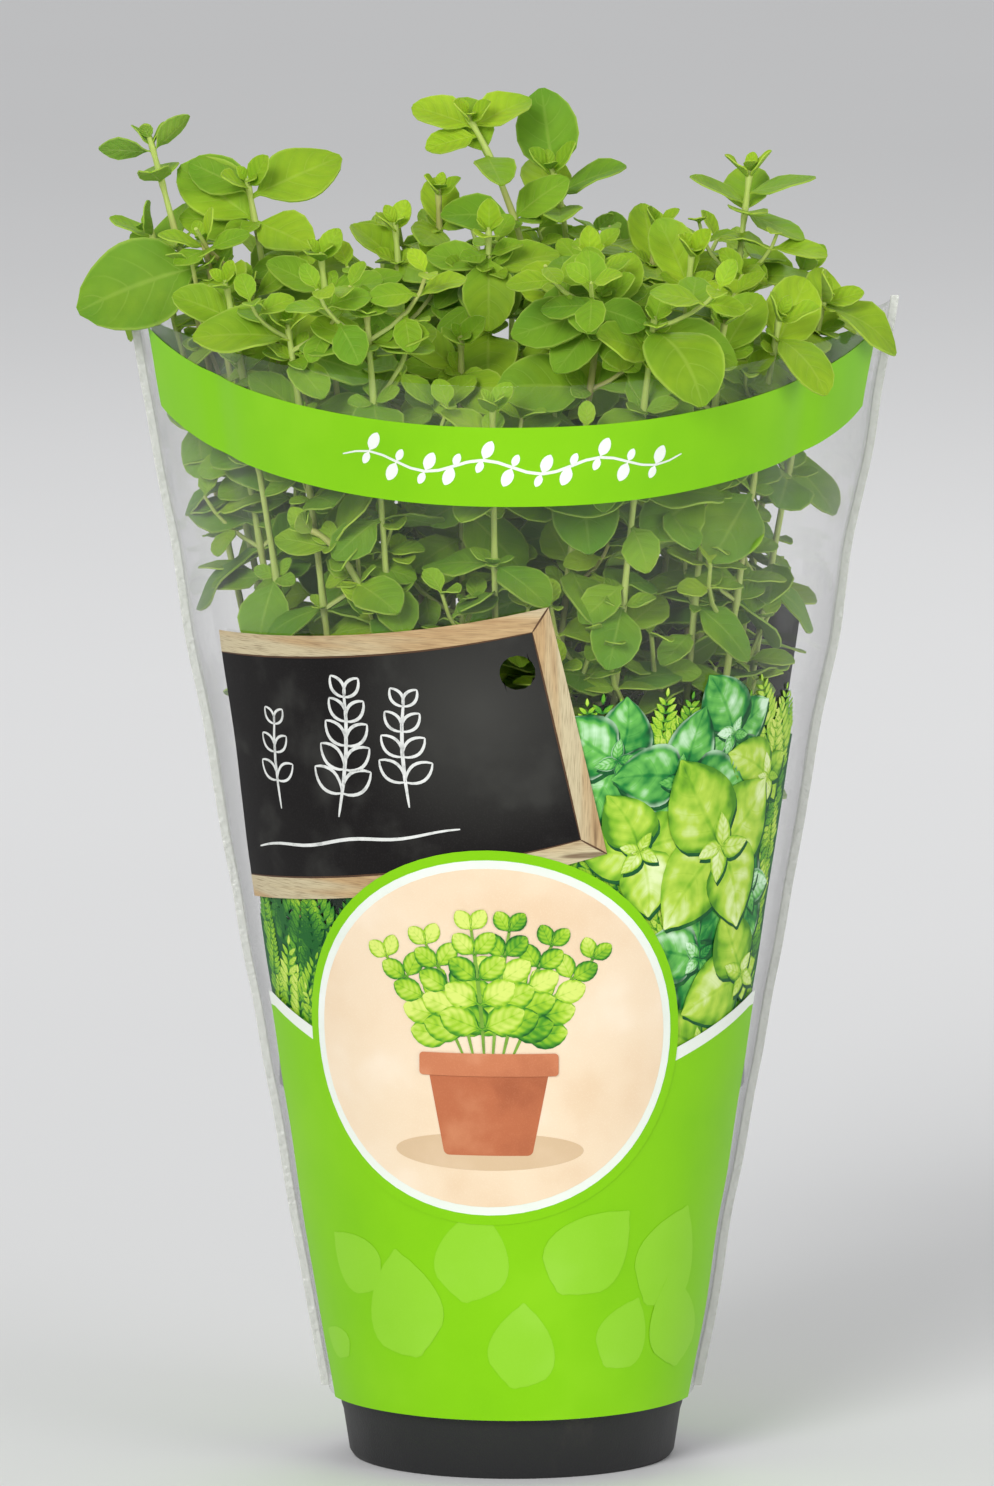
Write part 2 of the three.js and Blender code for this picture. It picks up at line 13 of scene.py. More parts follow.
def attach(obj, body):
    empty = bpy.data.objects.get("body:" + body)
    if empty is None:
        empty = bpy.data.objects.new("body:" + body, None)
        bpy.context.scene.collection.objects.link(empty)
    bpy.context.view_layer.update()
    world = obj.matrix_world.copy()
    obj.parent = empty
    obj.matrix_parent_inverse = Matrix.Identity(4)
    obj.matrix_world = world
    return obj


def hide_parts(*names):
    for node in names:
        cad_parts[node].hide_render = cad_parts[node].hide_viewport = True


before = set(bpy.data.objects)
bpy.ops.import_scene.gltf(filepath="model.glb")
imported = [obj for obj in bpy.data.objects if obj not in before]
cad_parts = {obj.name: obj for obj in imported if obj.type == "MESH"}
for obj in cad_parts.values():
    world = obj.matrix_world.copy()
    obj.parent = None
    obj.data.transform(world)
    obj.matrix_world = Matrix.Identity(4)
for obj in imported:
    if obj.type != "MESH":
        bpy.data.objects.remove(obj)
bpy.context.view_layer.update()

# A marjoram plant in its nursery pot, inside the clear printed sleeve it is sold in. Shapes are
# worked out in millimetres and stored in metres. +Z is up and the front is towards -Y.

MM = 0.001

# ---- Pot ----
POT_HEIGHT = 104
POT_FOOT_RADIUS = 42
POT_FOOT_CHAMFER = 1.5
POT_TAPER = 0.1543
POT_WALL = 1.2
POT_FLOOR = 1.6
ROUND_STEPS = 96
# The raised gutter in the foot, and the levels between which the wall stands a little proud.
GUTTER_SPAN = (17, 33)
GUTTER_RISE = 2
PROUD_LEVELS = (12, 86)
LIP_RADIUS = 60
LIP_LEVEL = 97
LIP_CEILING = 102.7
LIP_WALL = 1.3
DRAIN_COUNT = 8
DRAIN_RADIUS = 3.5
DRAIN_CIRCLE = 25

# ---- Soil ----
SOIL_EDGE_HEIGHT = 92
SOIL_MIDDLE_HEIGHT = 94
SOIL_FLOOR = 3.95
SOIL_RINGS = 24
SEAT_GAP = 0.35
CRUMBS = 420
CRUMB_RADII = (0.5, 1.7)
PALE_CRUMBS = 0.07

# ---- Sleeve ----
SEAM_GAP = 0.4
SEAM_WIDTH = 2
SLEEVE_LIP_RADIUS = 60.5
SLEEVE_TAPER = 0.1768
SLEEVE_CORNER_TOP = 301
SLEEVE_TOP_DIP = 13
SLEEVE_BOTTOM = 16
SLEEVE_CORNER_LIFT = 1.5
SLEEVE_FLATTEN = 0.7
VENT_RADIUS = 4.5
VENT_PLACE = (1.3, 214)
FILM_COLUMNS = 72
FILM_ROWS = 70
FILM_LIFT = 0.3
FILM_THICKNESS = 0.12

# ---- Shoots ----
STEM_RADIUS = 0.85
STEM_STEPS = 6
BENT_STEM_STEPS = 12
STEM_BOW = (0.4, 0.55)
PLANTING_DEPTH = 8
# A leaf's width as a share of its length.
LEAF_WIDTH = 0.62

# How far leaves of one kind differ, from end to end: in degrees, and as a share of the length.
HEADING_SPREAD = 30
PITCH_SPREAD = 20
ROLL_SPREAD = 24
LENGTH_SPREAD = 0.2

# From the youngest pair at the tip downwards: size, angle above level, sweep of the midrib and age.
PAIR_SIZE = (0.5, 0.95, 1.1, 1.1, 1.05, 1)
PAIR_PITCH = (60, 32, 18, 10, 0, -8)
PAIR_SWEEP = (15, 25, 35, 40, 45, 45)
PAIR_AGE = (0, 0.16, 0.38, 0.6, 0.8, 0.95)

# Places of the pairs low on a stem, as shares of its length.
LOW_PAIRS = (0.34, 0.42, 0.5, 0.56, 0.62, 0.68, 0.75)

# Shoots planted further forward than this have a long side shoot.
FRONT_ROW = -10

# Turn, pitch and size by which a leaf gives way to its neighbours.
LEAF_SHIFTS = (
    (0, 0, 1), (14, 0, 1), (-14, 0, 1), (0, 16, 1), (0, -16, 1),
    (24, 12, 0.92), (-24, 12, 0.92), (24, -12, 0.9), (-24, -12, 0.9), (0, 30, 0.85),
    (36, 20, 0.8), (-36, 20, 0.8), (0, -30, 0.7), (20, 40, 0.7), (-20, 40, 0.7), (0, 0, 0.6),
)

# A shoot: its foot and its tip, the lean of its crown, its pairs of leaves and their length, the turn of
# the first pair and, where the stem is bent, the corner of the bend.
Shoot = namedtuple("Shoot", "base tip lean pairs leaf turn bend", defaults=(None,))
SHOOTS = [Shoot(*row) for row in (
    ((-35, -33), (-57, -54, 300), (0, -1.2), 6, 21, 5),
    ((-24, -40), (-37, -64, 305), (0, -1.2), 6, 17, 85),
    ((-3, -42), (-5, -74, 281), (0, -0.5), 5, 17, 60),
    ((1, -34), (23, -58, 308), (0, -2.2), 6, 23, 20),
    ((17, -41), (36, -68, 303), (0.6, -1.8), 6, 21, 100),
    ((36, -31), (54, -52, 301), (0.4, -1.5), 6, 20, 150),
    ((42, -22), (68, -44, 301), (1, -1.5), 6, 23, 0),
    ((-42, -20), (-73, -38, 309), (-0.6, -2), 6, 17, 60),
    ((-44, -4), (-79, -12, 317), (-0.8, -1), 6, 25, 5),
    ((-46, 12), (-93, 12, 317), (-1.2, -0.6), 5, 24, -20),
    ((-40, 4), (-93, 0, 342), (-0.3, 0), 5, 15, 0),
    ((-34, 12), (-68, 2, 331), (0, -2.2), 5, 24, 30),
    ((-28, -14), (-49, -18, 314), (0, -1.6), 6, 18, 60),
    ((-16, -4), (-30, -2, 320), (0, -1.2), 5, 19, 50),
    ((-12, 14), (-19, 10, 328), (0.4, -1.2), 5, 17, 0),
    ((10, 14), (-12, 10, 347), (0.6, -1.6), 5, 18, 20, (26, 12, 290)),
    ((16, 26), (10, 22, 332), (0, -1), 5, 22, 0, (24, 24, 290)),
    ((-6, -14), (-6, -14, 320), (0, -1.6), 5, 21, 90),
    ((-12, -28), (-13, -40, 295), (0, -2.4), 6, 21, 30),
    ((24, 8), (37, 12, 318), (0.5, -1), 5, 19, 20),
    ((18, -16), (20, -24, 314), (0, -1.6), 6, 20, 85),
    ((38, -4), (61, -4, 334), (0, -0.6), 6, 19, 0),
    ((30, -12), (46, -18, 315), (0.3, -1.8), 5, 20, 40),
    ((44, 10), (75, 12, 308), (0.8, -0.8), 5, 21, 70),
    ((45, -8), (80, -18, 303), (1, -1), 6, 23, 20),
    ((-36, 30), (-64, 50, 308), (-0.6, 1), 5, 20, 30),
    ((-20, 38), (-34, 66, 308), (0, 1.4), 5, 20, 75),
    ((0, 44), (0, 74, 302), (0, 1.6), 5, 20, 5),
    ((18, 42), (30, 66, 308), (0, 1.4), 5, 20, 45),
    ((34, 30), (58, 48, 307), (0.6, 1), 5, 20, 80),
    ((4, 28), (8, 44, 317), (0, 0.6), 5, 18, 25),
    ((-16, 28), (-20, 40, 314), (0, 0.4), 5, 18, 55),
    ((-17, -40), (-52, -54, 247), (-0.3, -1), 3, 19, 100, (-24, -61, 240)),
)]

# A leaf: its place along the stem, heading, pitch, sweep, length, roll, age and twist.
Leaf = namedtuple("Leaf", "along heading pitch sweep length roll age twist", defaults=(0, 0.45, 0))

# Leaves placed one by one, under the number of their shoot.
SINGLE_LEAVES = {
    1: [Leaf(0.98, 184, 24, 35, 25), Leaf(0.965, -12, -6, 25, 22)],
    2: [Leaf(0.96, 178, 5, 25, 18), Leaf(0.96, -6, 5, 25, 17)],
    4: [Leaf(0.98, 207, 5, 20, 24), Leaf(0.98, 72, 18, 20, 18), Leaf(0.97, 245, 0, 20, 19)],
    5: [Leaf(0.98, -62, 55, 95, 31), Leaf(0.985, -12, 5, 30, 24)],
    6: [Leaf(0.74, 190, -15, 20, 26, roll=-50)],
    7: [Leaf(0.97, -48, 25, 70, 23), Leaf(0.62, 215, -25, 20, 29, roll=-50)],
    9: [Leaf(0.97, 186, 16, 24, 36, roll=-15, twist=58)],
    10: [Leaf(0.98, 185, -20, 40, 27)],
    11: [Leaf(0.985, 180, 25, 12, 14, twist=-45), Leaf(0.985, 5, 35, 12, 13, twist=45)],
    12: [Leaf(0.98, 35, 12, 20, 26), Leaf(0.985, 138, 15, 20, 18), Leaf(0.95, 165, 10, 20, 20)],
    16: [
        Leaf(0.985, 150, 10, 20, 17, age=0.02), Leaf(0.985, 42, 12, 20, 18, age=0.02),
        Leaf(0.975, 205, 8, 20, 14, age=0.02),
    ],
    17: [Leaf(0.985, 90, 62, 10, 24, age=0.7), Leaf(0.97, 0, 35, 30, 20)],
    18: [Leaf(0.97, 270, -12, 30, 21)],
    22: [Leaf(0.975, 2, 22, 10, 18), Leaf(0.955, -20, -5, 20, 17), Leaf(0.965, 178, 28, 10, 16)],
    25: [Leaf(0.985, -25, 32, 70, 24)],
}

# ---- Leaves ----

# Half the width of a leaf, as a share of its widest half, at shares of its length.
LEAF_OUTLINE = {
    0: 0.09, 0.09: 0.1, 0.18: 0.46, 0.31: 0.84, 0.47: 0.99, 0.64: 0.97, 0.8: 0.78, 0.92: 0.48, 1: 0.1,
}
SMALL_OUTLINE = {0: 0.1, 0.13: 0.14, 0.3: 0.76, 0.52: 1, 0.75: 0.86, 0.91: 0.5, 1: 0.12}
POINTED_OUTLINE = {0: 0.08, 0.07: 0.4, 0.2: 0.85, 0.36: 1, 0.54: 0.93, 0.72: 0.7, 0.88: 0.36, 1: 0.03}
NARROW_OUTLINE = {0: 0.2, 0.4: 1, 0.75: 0.7, 1: 0.08}

# Real and printed leaves longer than these have a finer outline.
FINE_LEAF = 24
FINE_PRINT = 14

# The places of a shoot's materials, and how near the frame a leaf's tip has to be.
TOP, UNDER, STEM = 0, 1, 2
TIP_MATCH = 0.1

# Side shoots stay below this height, inside this box round the crown.
BRANCH_TOP = 322
CROWN_LOW = (-108, -93)
CROWN_HIGH = (97, 93)

# The leaf that shows through the vent, and its shoot.
VENT_LEAF = Leaf(0.71, -62, 8, 85, 19)
VENT_LEAF_SHOOT = 3

# ---- Print ----

# Prints lie this far outside the panel's middle, and a layer more for each print that they cover.
PRINT_LIFT = 0.42
LAYER = 0.045
PRINT_THICKNESS = 0.03
BAND_TOP = 277.5
BAND_RISE = 25
BAND_HEIGHT = 20.5
VINE_REACH = 44
VINE_STEPS = 24
STRIPE_MIDDLE = 98
STRIPE_RISE = 18
STRIPE_HEIGHT = 3.5
GROUND_LAYER = 17.5
GROUND_LEAVES = 9
GARLAND_LEFT = 160
GARLAND_RIGHT = 203
GARLAND_STEP = (2, 20)
# Sprays in the print: the leaves of one, their rows, how many are in a row and along both margins.
FROND_LEAVES = 13
FROND_ROWS = 15
ROW_FRONDS = 20
MARGIN_FRONDS = 44
# The inks of the garland, by their places.
DEEP_GREEN, HERB, BASIL, SHADED = range(4)
# Broad-leaved plants in the print: place across and up, turn in degrees, reach, level and ink.
PLANTS = (
    (27, 190, 60, 17, 0, SHADED), (62, 194, 20, 18, 0, SHADED), (46, 184, 75, 22, 1, SHADED),
    (77, 181, 50, 17, 1, BASIL), (70, 152, 95, 20, 0, SHADED), (33, 166, 15, 19, 2, BASIL),
    (58, 165, 35, 27, 3, BASIL), (52, 136, 80, 18, 0, SHADED), (69, 130, 25, 22, 2, BASIL),
    (53, 112, 60, 19, 1, BASIL), (76, 108, 30, 14, 0, SHADED),
)
LABEL_CORNERS = ((-82, 149), (24, 166), (9, 231), (-90, 218))
LABEL_FRAME = (0.053, 0.082)
LABEL_SAG = 2.4
LABEL_LAYER = 18
# Chalk sprigs: foot, rise, sway, pairs of leaves, their size and the width of the line.
SPRIGS = (((-46, 174), 34, 2.5, 5, 10.5, 1.1), ((-26, 178), 29, -2, 4, 9, 1), ((-66, 174), 25, -2, 3, 8, 0.9))
# Where the slate turns paler, and how far that reaches.
PALE_PATCH_PLACE = (-8, 204)
PALE_PATCH_REACH = 38
MEDALLION_CENTRE = (-6, 118)
MEDALLION_RADII = (51, 49.5)
MEDALLION_LAYER = 22
# Each stem of the potted herb leans this share of the way to the side.
PICTURE_STEMS = (0.75, -0.75, 0.45, -0.45, 0.15, -0.12)
PICTURE_PAIRS = 5

# Flat inks: the colour, its lighter and darker patches, how many of those, roughness and gloss.
INKS = {
    "lime_ink": ((130, 201, 6), (142, 209, 24), (117, 190, 2)),
    "pale_lime_ink": ((143, 207, 44), (156, 212, 70), (132, 202, 20)),
    "white_ink": ((232, 238, 228), (244, 246, 242), (216, 226, 212)),
    "chalk": ((220, 222, 218), (240, 240, 238), (136, 138, 136), 420, 0.7),
    "slate": ((25, 23, 23), (64, 64, 61), (18, 16, 16), 60, 0.4, 0.1),
    "timber_shadow": ((84, 60, 42), (110, 82, 58), (60, 42, 30), 200),
    "deep_green_ink": ((18, 84, 42), (60, 132, 48), (6, 52, 32), 230),
    "cream_ink": ((238, 216, 186), (250, 238, 220), (224, 190, 150), 34),
    "picture_shadow": ((214, 186, 150), (226, 200, 168), (200, 168, 130), 60),
    "terracotta_ink": ((186, 108, 72), (214, 146, 106), (150, 80, 52), 70),
    "terracotta_rim_ink": ((200, 124, 86), (226, 160, 122), (170, 96, 64), 70),
    "stalk_ink": ((122, 166, 60), (150, 190, 84), (90, 130, 44), 200),
}

# Inks of printed leaves: colours from dark to pale, their places on the scale and the glint of the rim.
LEAF_INKS = {
    "printed_herb": (((26, 96, 36), (84, 156, 38), (160, 204, 48), (214, 230, 116)), (0, 0.35, 0.65, 1)),
    "printed_basil": (((74, 136, 28), (132, 186, 42), (182, 214, 74), (228, 242, 182)), (0, 0.3, 0.62, 1)),
    "printed_shaded_leaf": (
        ((8, 72, 38), (30, 128, 54), (108, 188, 84), (212, 242, 210)), (0, 0.35, 0.65, 1), 0.6,
    ),
}

# ---- Stage, in metres ----
FLOOR_REACH = 20
LIGHT_TARGET = (0, 0, 0.19)
WINDOW_PLACE = (-1, -2.5, 1.6)
WINDOW_STRENGTH = 1.35
# Soft lights: name, place, size and power.
SOFT_LIGHTS = (
    ("key", (-1.1, -2.1, 1), 1, 12), ("fill", (1.8, -1.7, 0.7), 1.2, 18), ("back", (0.3, 1.8, 1.8), 1.4, 12),
)
# The lens is in millimetres and the elevation in degrees.
CAMERA_LENS = 423.4
CAMERA_DISTANCE = 4.5
CAMERA_ELEVATION = 7.6
CAMERA_TARGET = (-0.00386, 0, 0.18505)


# ---- Materials ----

def tint(red, green, blue):
    """A display colour, 0 to 255, as the shaders take it."""
    shares = [value / 255 for value in (red, green, blue)]
    linear = [s / 12.92 if s <= 0.04045 else ((s + 0.055) / 1.055) ** 2.4 for s in shares]
    return (*linear, 1)


class Wire:
    """A node's output. Arithmetic on it adds Math nodes."""

    def __init__(self, paint, socket):
        self.paint = paint
        self.socket = socket

    def __add__(self, other):
        return self.paint.math("ADD", self, other)

    def __sub__(self, other):
        return self.paint.math("SUBTRACT", self, other)

    def __mul__(self, other):
        return self.paint.math("MULTIPLY", self, other)

    def __pow__(self, other):
        return self.paint.math("POWER", self, other)

    def __radd__(self, other):
        return self.paint.math("ADD", other, self)

    def __rsub__(self, other):
        return self.paint.math("SUBTRACT", other, self)

    def __rmul__(self, other):
        return self.paint.math("MULTIPLY", other, self)

    def __abs__(self):
        return self.paint.math("ABSOLUTE", self)


class Paint:
    """One material while it is built."""

    def __init__(self, name):
        self.material = bpy.data.materials.new(name)
        self.material.use_nodes = True
        self.tree = self.material.node_tree
        self.tree.nodes.clear()

    def node(self, kind, settings=None, values=None, out=0):
        """Any node: its settings are set first, then its sockets' values or links."""
        node = self.tree.nodes.new("ShaderNode" + kind)
        for name, value in (settings or {}).items():
            if name == "stops":
                self.set_stops(node.color_ramp, value)
            else:
                setattr(node, name, value)
        for name, value in (values or {}).items():
            if isinstance(value, Wire):
                self.tree.links.new(value.socket, node.inputs[name])
            else:
                node.inputs[name].default_value = value
        return Wire(self, node.outputs[out])

    def set_stops(self, ramp, stops):
        while len(ramp.elements) < len(stops):
            ramp.elements.new(0.5)
        for element, (place, colour) in zip(ramp.elements, stops):
            element.position = place
            element.color = colour

    def math(self, operation, *values):
        return self.node("Math", {"operation": operation}, dict(enumerate(values)))

    def place(self):
        return self.node("TexCoord", out="Object")

    def stretched(self, coordinates, scale):
        values = {"Vector": coordinates, "Scale": scale}
        return self.node("Mapping", None, values)

    def split(self, vector):
        node = self.node("SeparateXYZ", None, {0: vector})
        return [Wire(self, output) for output in node.socket.node.outputs]

    def layout(self):
        """The two shares of a piece's own layout map."""
        return self.split(self.node("UVMap", {"uv_map": "layout"}))[:2]

    def tone(self):
        return self.node("Attribute", {"attribute_name": "tone"}, out="Fac")

    def noise(self, coordinates, scale, detail=3, roughness=0.5):
        values = {"Vector": coordinates, "Scale": scale, "Detail": detail, "Roughness": roughness}
        return self.node("TexNoise", None, values, out="Fac")

    def step(self, value, low, high):
        settings = {"interpolation_type": "SMOOTHSTEP"}
        return self.node("MapRange", settings, {"Value": value, "From Min": low, "From Max": high})

    def mix(self, share, first, second):
        """Two colours mixed."""
        return self.node("Mix", {"data_type": "RGBA"}, {0: share, 6: first, 7: second}, out=2)

    def ramp(self, share, colours, places):
        """Colours in order, each at its place."""
        stops = [(place, tint(*colour)) for place, colour in zip(places, colours)]
        return self.node("ValToRGB", {"stops": stops}, {"Fac": share})

    def bump(self, height, distance, strength):
        values = {"Height": height, "Distance": distance, "Strength": strength}
        return self.node("Bump", None, values)

    def surface(self, values):
        return self.node("BsdfPrincipled", None, values)

    def blend(self, share, first, second):
        return self.node("MixShader", None, {0: share, 1: first, 2: second})

    def finish(self, shader):
        self.node("OutputMaterial", None, {"Surface": shader}, out=slice(0, 0))
        return self.material

    def coat(self, colour, roughness, relief=None, shine=0.5, glow=None):
        """Ends the material with one solid surface."""
        values = {"Base Color": colour, "Roughness": roughness, "Specular IOR Level": shine, **(glow or {})}
        if relief:
            values["Normal"] = relief
        return self.finish(self.surface(values))


LEAF_GLOW = {"Subsurface Weight": 0.22, "Subsurface Radius": (0.5, 1, 0.15), "Subsurface Scale": 0.0014}
STEM_GLOW = {"Subsurface Weight": 0.2, "Subsurface Radius": (0.6, 0.8, 0.2), "Subsurface Scale": 0.001}


def veins(paint):
    """Midrib and side veins of a leaf: their mask, the swell between them and how far out it is."""
    along, across = paint.layout()
    side = abs(across - 0.5) * 2
    midrib = (1 - paint.step(side, 0.01, 0.09)) * (1.1 - along * 0.7)
    phase = (along - side ** 1.3 * 0.3) * 5
    wave = abs(paint.math("FRACT", phase) - 0.5) * 2
    branches = paint.step(wave, 0.86, 1) * (0.6 - side * 0.55)
    return paint.math("MAXIMUM", midrib, branches), wave, side


def leaf_paint(name, young, grown, pale, vein_share, roughness):
    paint = Paint(name)
    place = paint.place()
    mask, wave, side = veins(paint)
    mottle = paint.noise(place, 110, 4)
    grain = paint.noise(place, 1500, 2)
    colour = paint.mix(paint.tone() + (mottle - 0.5) * 0.7, young, grown)
    cool = paint.step(paint.noise(place, 26, 2), 0.42, 0.62)
    colour = paint.mix(cool * 0.45, colour, tint(100, 154, 44))
    # Darker on the slopes down into the side veins, where the relief dips: painted shade in the grooves.
    colour = paint.mix(paint.step(wave, 0, 0.9) * 0.12, colour, grown)
    colour = paint.mix(mask * vein_share, colour, pale)
    # Paler along the rim: painted light shining through the thin edge.
    colour = paint.mix(paint.step(side, 0.9, 1) * 0.35, colour, pale)
    relief = paint.bump(grain * 0.2 + (1 - mask) * 0.35 + (1 - wave) * 0.5, 0.0003, 0.55)
    return paint.coat(colour, grain * 0.2 + roughness, relief, 0.16, LEAF_GLOW)


def film_waves(paint):
    """The slow waves of the film, which show in the shine of what is printed on it."""
    return paint.bump(paint.noise(paint.place(), 22, 3), 0.0012, 0.4)


def leaf_ink_paint(name, colours, places, rim=0):
    """Leaves printed in painterly light and shade, from the darkest of the colours to the palest."""
    paint = Paint(name)
    along, _ = paint.layout()
    mask, wave, side = veins(paint)
    brush = paint.noise(paint.place(), 95, 3, 0.55)
    hollow = paint.step(side, 0.55, 1) * 0.45 + (1 - paint.step(along, 0, 0.35)) * 0.3
    light = paint.tone() * 0.6 + along * 0.1 + (brush - 0.5) * 1.6 - hollow + (wave - mask) * 0.18 + 0.21
    colour = paint.ramp(light, colours, places)
    glint = paint.step(side, 0.8, 0.98) * paint.step(brush, 0.4, 0.6) * rim
    colour = paint.mix(glint, colour, tint(*colours[-1]))
    return paint.coat(colour, 0.3 + brush * 0.15, film_waves(paint), 0.2)


def stem_paint():
    paint = Paint("stem_skin")
    place = paint.place()
    streaks = paint.noise(paint.stretched(place, (1, 1, 0.1)), 900, 3)
    age = paint.tone() + (paint.noise(place, 45, 2) - 0.5) * 0.5
    colours = (150, 118, 78), (152, 156, 84), (174, 192, 98), (184, 204, 100)
    colour = paint.ramp(age, colours, (0, 0.3, 0.6, 1))
    colour = paint.mix(paint.step(streaks, 0.45, 0.75) * 0.4, colour, tint(190, 205, 130))
    blush = paint.step(paint.noise(place, 34, 2), 0.52, 0.68)
    colour = paint.mix(blush * 0.5, colour, tint(170, 138, 98))
    return paint.coat(colour, streaks * 0.3 + 0.4, paint.bump(streaks, 0.0002, 0.5), glow=STEM_GLOW)


def soil_paint():
    paint = Paint("damp_peat")
    place = paint.place()
    lumps = paint.noise(place, 260, 6, 0.65)
    fibres = paint.noise(paint.stretched(place, (1, 3, 1)), 700, 4)
    colour = paint.mix(lumps, tint(38, 27, 20), tint(92, 68, 48))
    colour = paint.mix(paint.step(fibres, 0.6, 0.75) * 0.5, colour, tint(120, 92, 64))
    colour = paint.mix(paint.step(paint.tone(), 0.8, 0.9), colour, tint(205, 200, 190))
    return paint.coat(colour, 0.95 - lumps * 0.2, paint.bump(lumps + fibres * 0.5, 0.001, 0.8), 0.25)


def pot_paint():
    paint = Paint("moulded_black_plastic")
    place = paint.place()
    grain = paint.noise(place, 1800, 2)
    smears = paint.noise(paint.stretched(place, (1, 1, 0.3)), 60, 5, 0.6)
    dust = paint.step(smears, 0.55, 0.8) * 0.35
    colour = paint.mix(dust, tint(26, 26, 27), tint(74, 68, 60))
    return paint.coat(colour, 0.38 + smears * 0.3, paint.bump(grain, 0.00015, 0.5))


def film_paint():
    """Clear film: light passes, glances off at low angles and is scattered a little."""
    paint = Paint("clear_film")
    place = paint.place()
    weld = paint.step(paint.tone(), 0.2, 0.8)
    clouds = paint.noise(place, 22, 3)
    scratches = paint.noise(paint.stretched(place, (1, 1, 0.12)), 160, 3)
    relief = paint.bump(clouds + scratches * 0.15 + weld * paint.noise(place, 700, 2), 0.0016, 0.5)
    facing = paint.node("LayerWeight", None, {"Blend": 0.5, "Normal": relief}, out="Facing")
    gloss = paint.node("BsdfGlossy", None, {"Roughness": 0.07, "Normal": relief})
    clear = paint.node("BsdfTransparent")
    shine = paint.blend(facing ** 4 * 0.7 + 0.014, clear, gloss)
    scatter = paint.surface({"Base Color": tint(228, 230, 222), "Roughness": 0.35, "Normal": relief})
    share = 0.004 + paint.step(clouds, 0.4, 0.75) * 0.014 + weld * 0.35
    return paint.finish(paint.blend(share, shine, scatter))


def ink_paint(name, colour, light, dark, spots=30, roughness=0.3, gloss=0.2):
    """A flat printed ink, a little uneven. It is light where the tone is 1."""
    paint = Paint(name)
    light = tint(*light)
    patches = paint.noise(paint.place(), spots, 3)
    dots = paint.noise(paint.place(), 2600, 1)
    shade = paint.mix(paint.step(patches, 0.5, 0.75) * 0.6, tint(*colour), light)
    shade = paint.mix(paint.step(patches, 0.5, 0.25) * 0.5, shade, tint(*dark))
    shade = paint.mix(paint.step(dots, 0.5, 0.7) * 0.12, shade, light)
    shade = paint.mix(paint.tone(), shade, light)
    return paint.coat(shade, roughness + patches * 0.15, film_waves(paint), gloss)


def wood_ink_paint():
    """Printed timber: the layout's first share runs along the grain."""
    paint = Paint("printed_timber")
    along, across = paint.layout()
    vector = paint.node("CombineXYZ", None, {0: along * 3, 1: across * 30})
    bands = paint.noise(vector, 3, 4, 0.6)
    lines = paint.noise(paint.node("CombineXYZ", None, {0: along * 4, 1: across * 160}), 4, 2)
    colour = paint.mix(bands, tint(150, 112, 72), tint(218, 190, 142))
    bleached = paint.step(paint.noise(vector, 0.35, 2), 0.44, 0.6)
    colour = paint.mix(bleached * 0.65, colour, tint(208, 202, 168))
    colour = paint.mix(paint.step(lines, 0.5, 0.68) * 0.6, colour, tint(112, 84, 54))
    knots = paint.step(paint.noise(vector, 0.9, 1), 0.64, 0.72)
    colour = paint.mix(knots * 0.7, colour, tint(96, 70, 46))
    return paint.coat(colour, 0.3 + bands * 0.15, shine=0.3)


# ---- Pieces ----

class Piece:
    """Shapes gathered into one object, in millimetres."""

    def __init__(self, *paints):
        self.mesh = bmesh.new()
        self.layout = self.mesh.loops.layers.uv.new("layout")
        self.tone = self.mesh.verts.layers.float.new("tone")
        self.paints = paints

    def dress(self, faces, paint, shares=None, tone=0):
        """Gives faces a material, and their corners a tone and a place in the layout."""
        for face in faces:
            face.material_index = paint
            for loop in face.loops:
                loop.vert[self.tone] = tone(loop.vert) if callable(tone) else tone
                if shares:
                    loop[self.layout].uv = shares[loop.vert]

    def finish(self, name, slot, *nodes, smooth_degrees=40):
        data = bpy.data.meshes.new(name)
        bmesh.ops.scale(self.mesh, vec=(MM, MM, MM), verts=self.mesh.verts)
        for face in self.mesh.faces:
            face.smooth = True
        self.mesh.to_mesh(data)
        self.mesh.free()
        data.set_sharp_from_angle(angle=math.radians(smooth_degrees))
        for paint in self.paints:
            data.materials.append(paint)
        shape = bpy.data.objects.new(name, data)
        bpy.context.scene.collection.objects.link(shape)
        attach(shape, "root")
        if nodes:
            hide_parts(*nodes)
        return shape


def faces_of(verts):
    return list({face for vert in verts for face in vert.link_faces})


def new_sheet(mesh, columns, rows, size=0.5):
    """The corners of a new flat sheet, which spans -size to size both ways."""
    return bmesh.ops.create_grid(mesh, x_segments=columns, y_segments=rows, size=size)["verts"]


def smoothstep(value, low, high):
    share = min(max((value - low) / (high - low), 0), 1)
    return share * share * (3 - 2 * share)


def pointing(degrees):
    """The flat direction at a heading."""
    turn = math.radians(degrees)
    return Vector((math.cos(turn), math.sin(turn)))


# ---- Pot ----

def pot_radius(height):
    return POT_FOOT_RADIUS + POT_TAPER * (height - POT_FOOT_CHAMFER)


def turned(mesh, outline, steps):
    """Spins an outline of (radius, height) round the pot's axis."""
    verts = [mesh.verts.new((radius, 0, height)) for radius, height in outline]
    edges = [mesh.edges.new(pair) for pair in zip(verts, verts[1:])]
    spin = {"cent": (0, 0, 0), "axis": (0, 0, 1), "angle": 2 * math.pi, "steps": steps, "use_merge": True}
    bmesh.ops.spin(mesh, geom=verts + edges, **spin)
    bmesh.ops.remove_doubles(mesh, verts=mesh.verts, dist=0.001)
    bmesh.ops.recalc_face_normals(mesh, faces=mesh.faces)


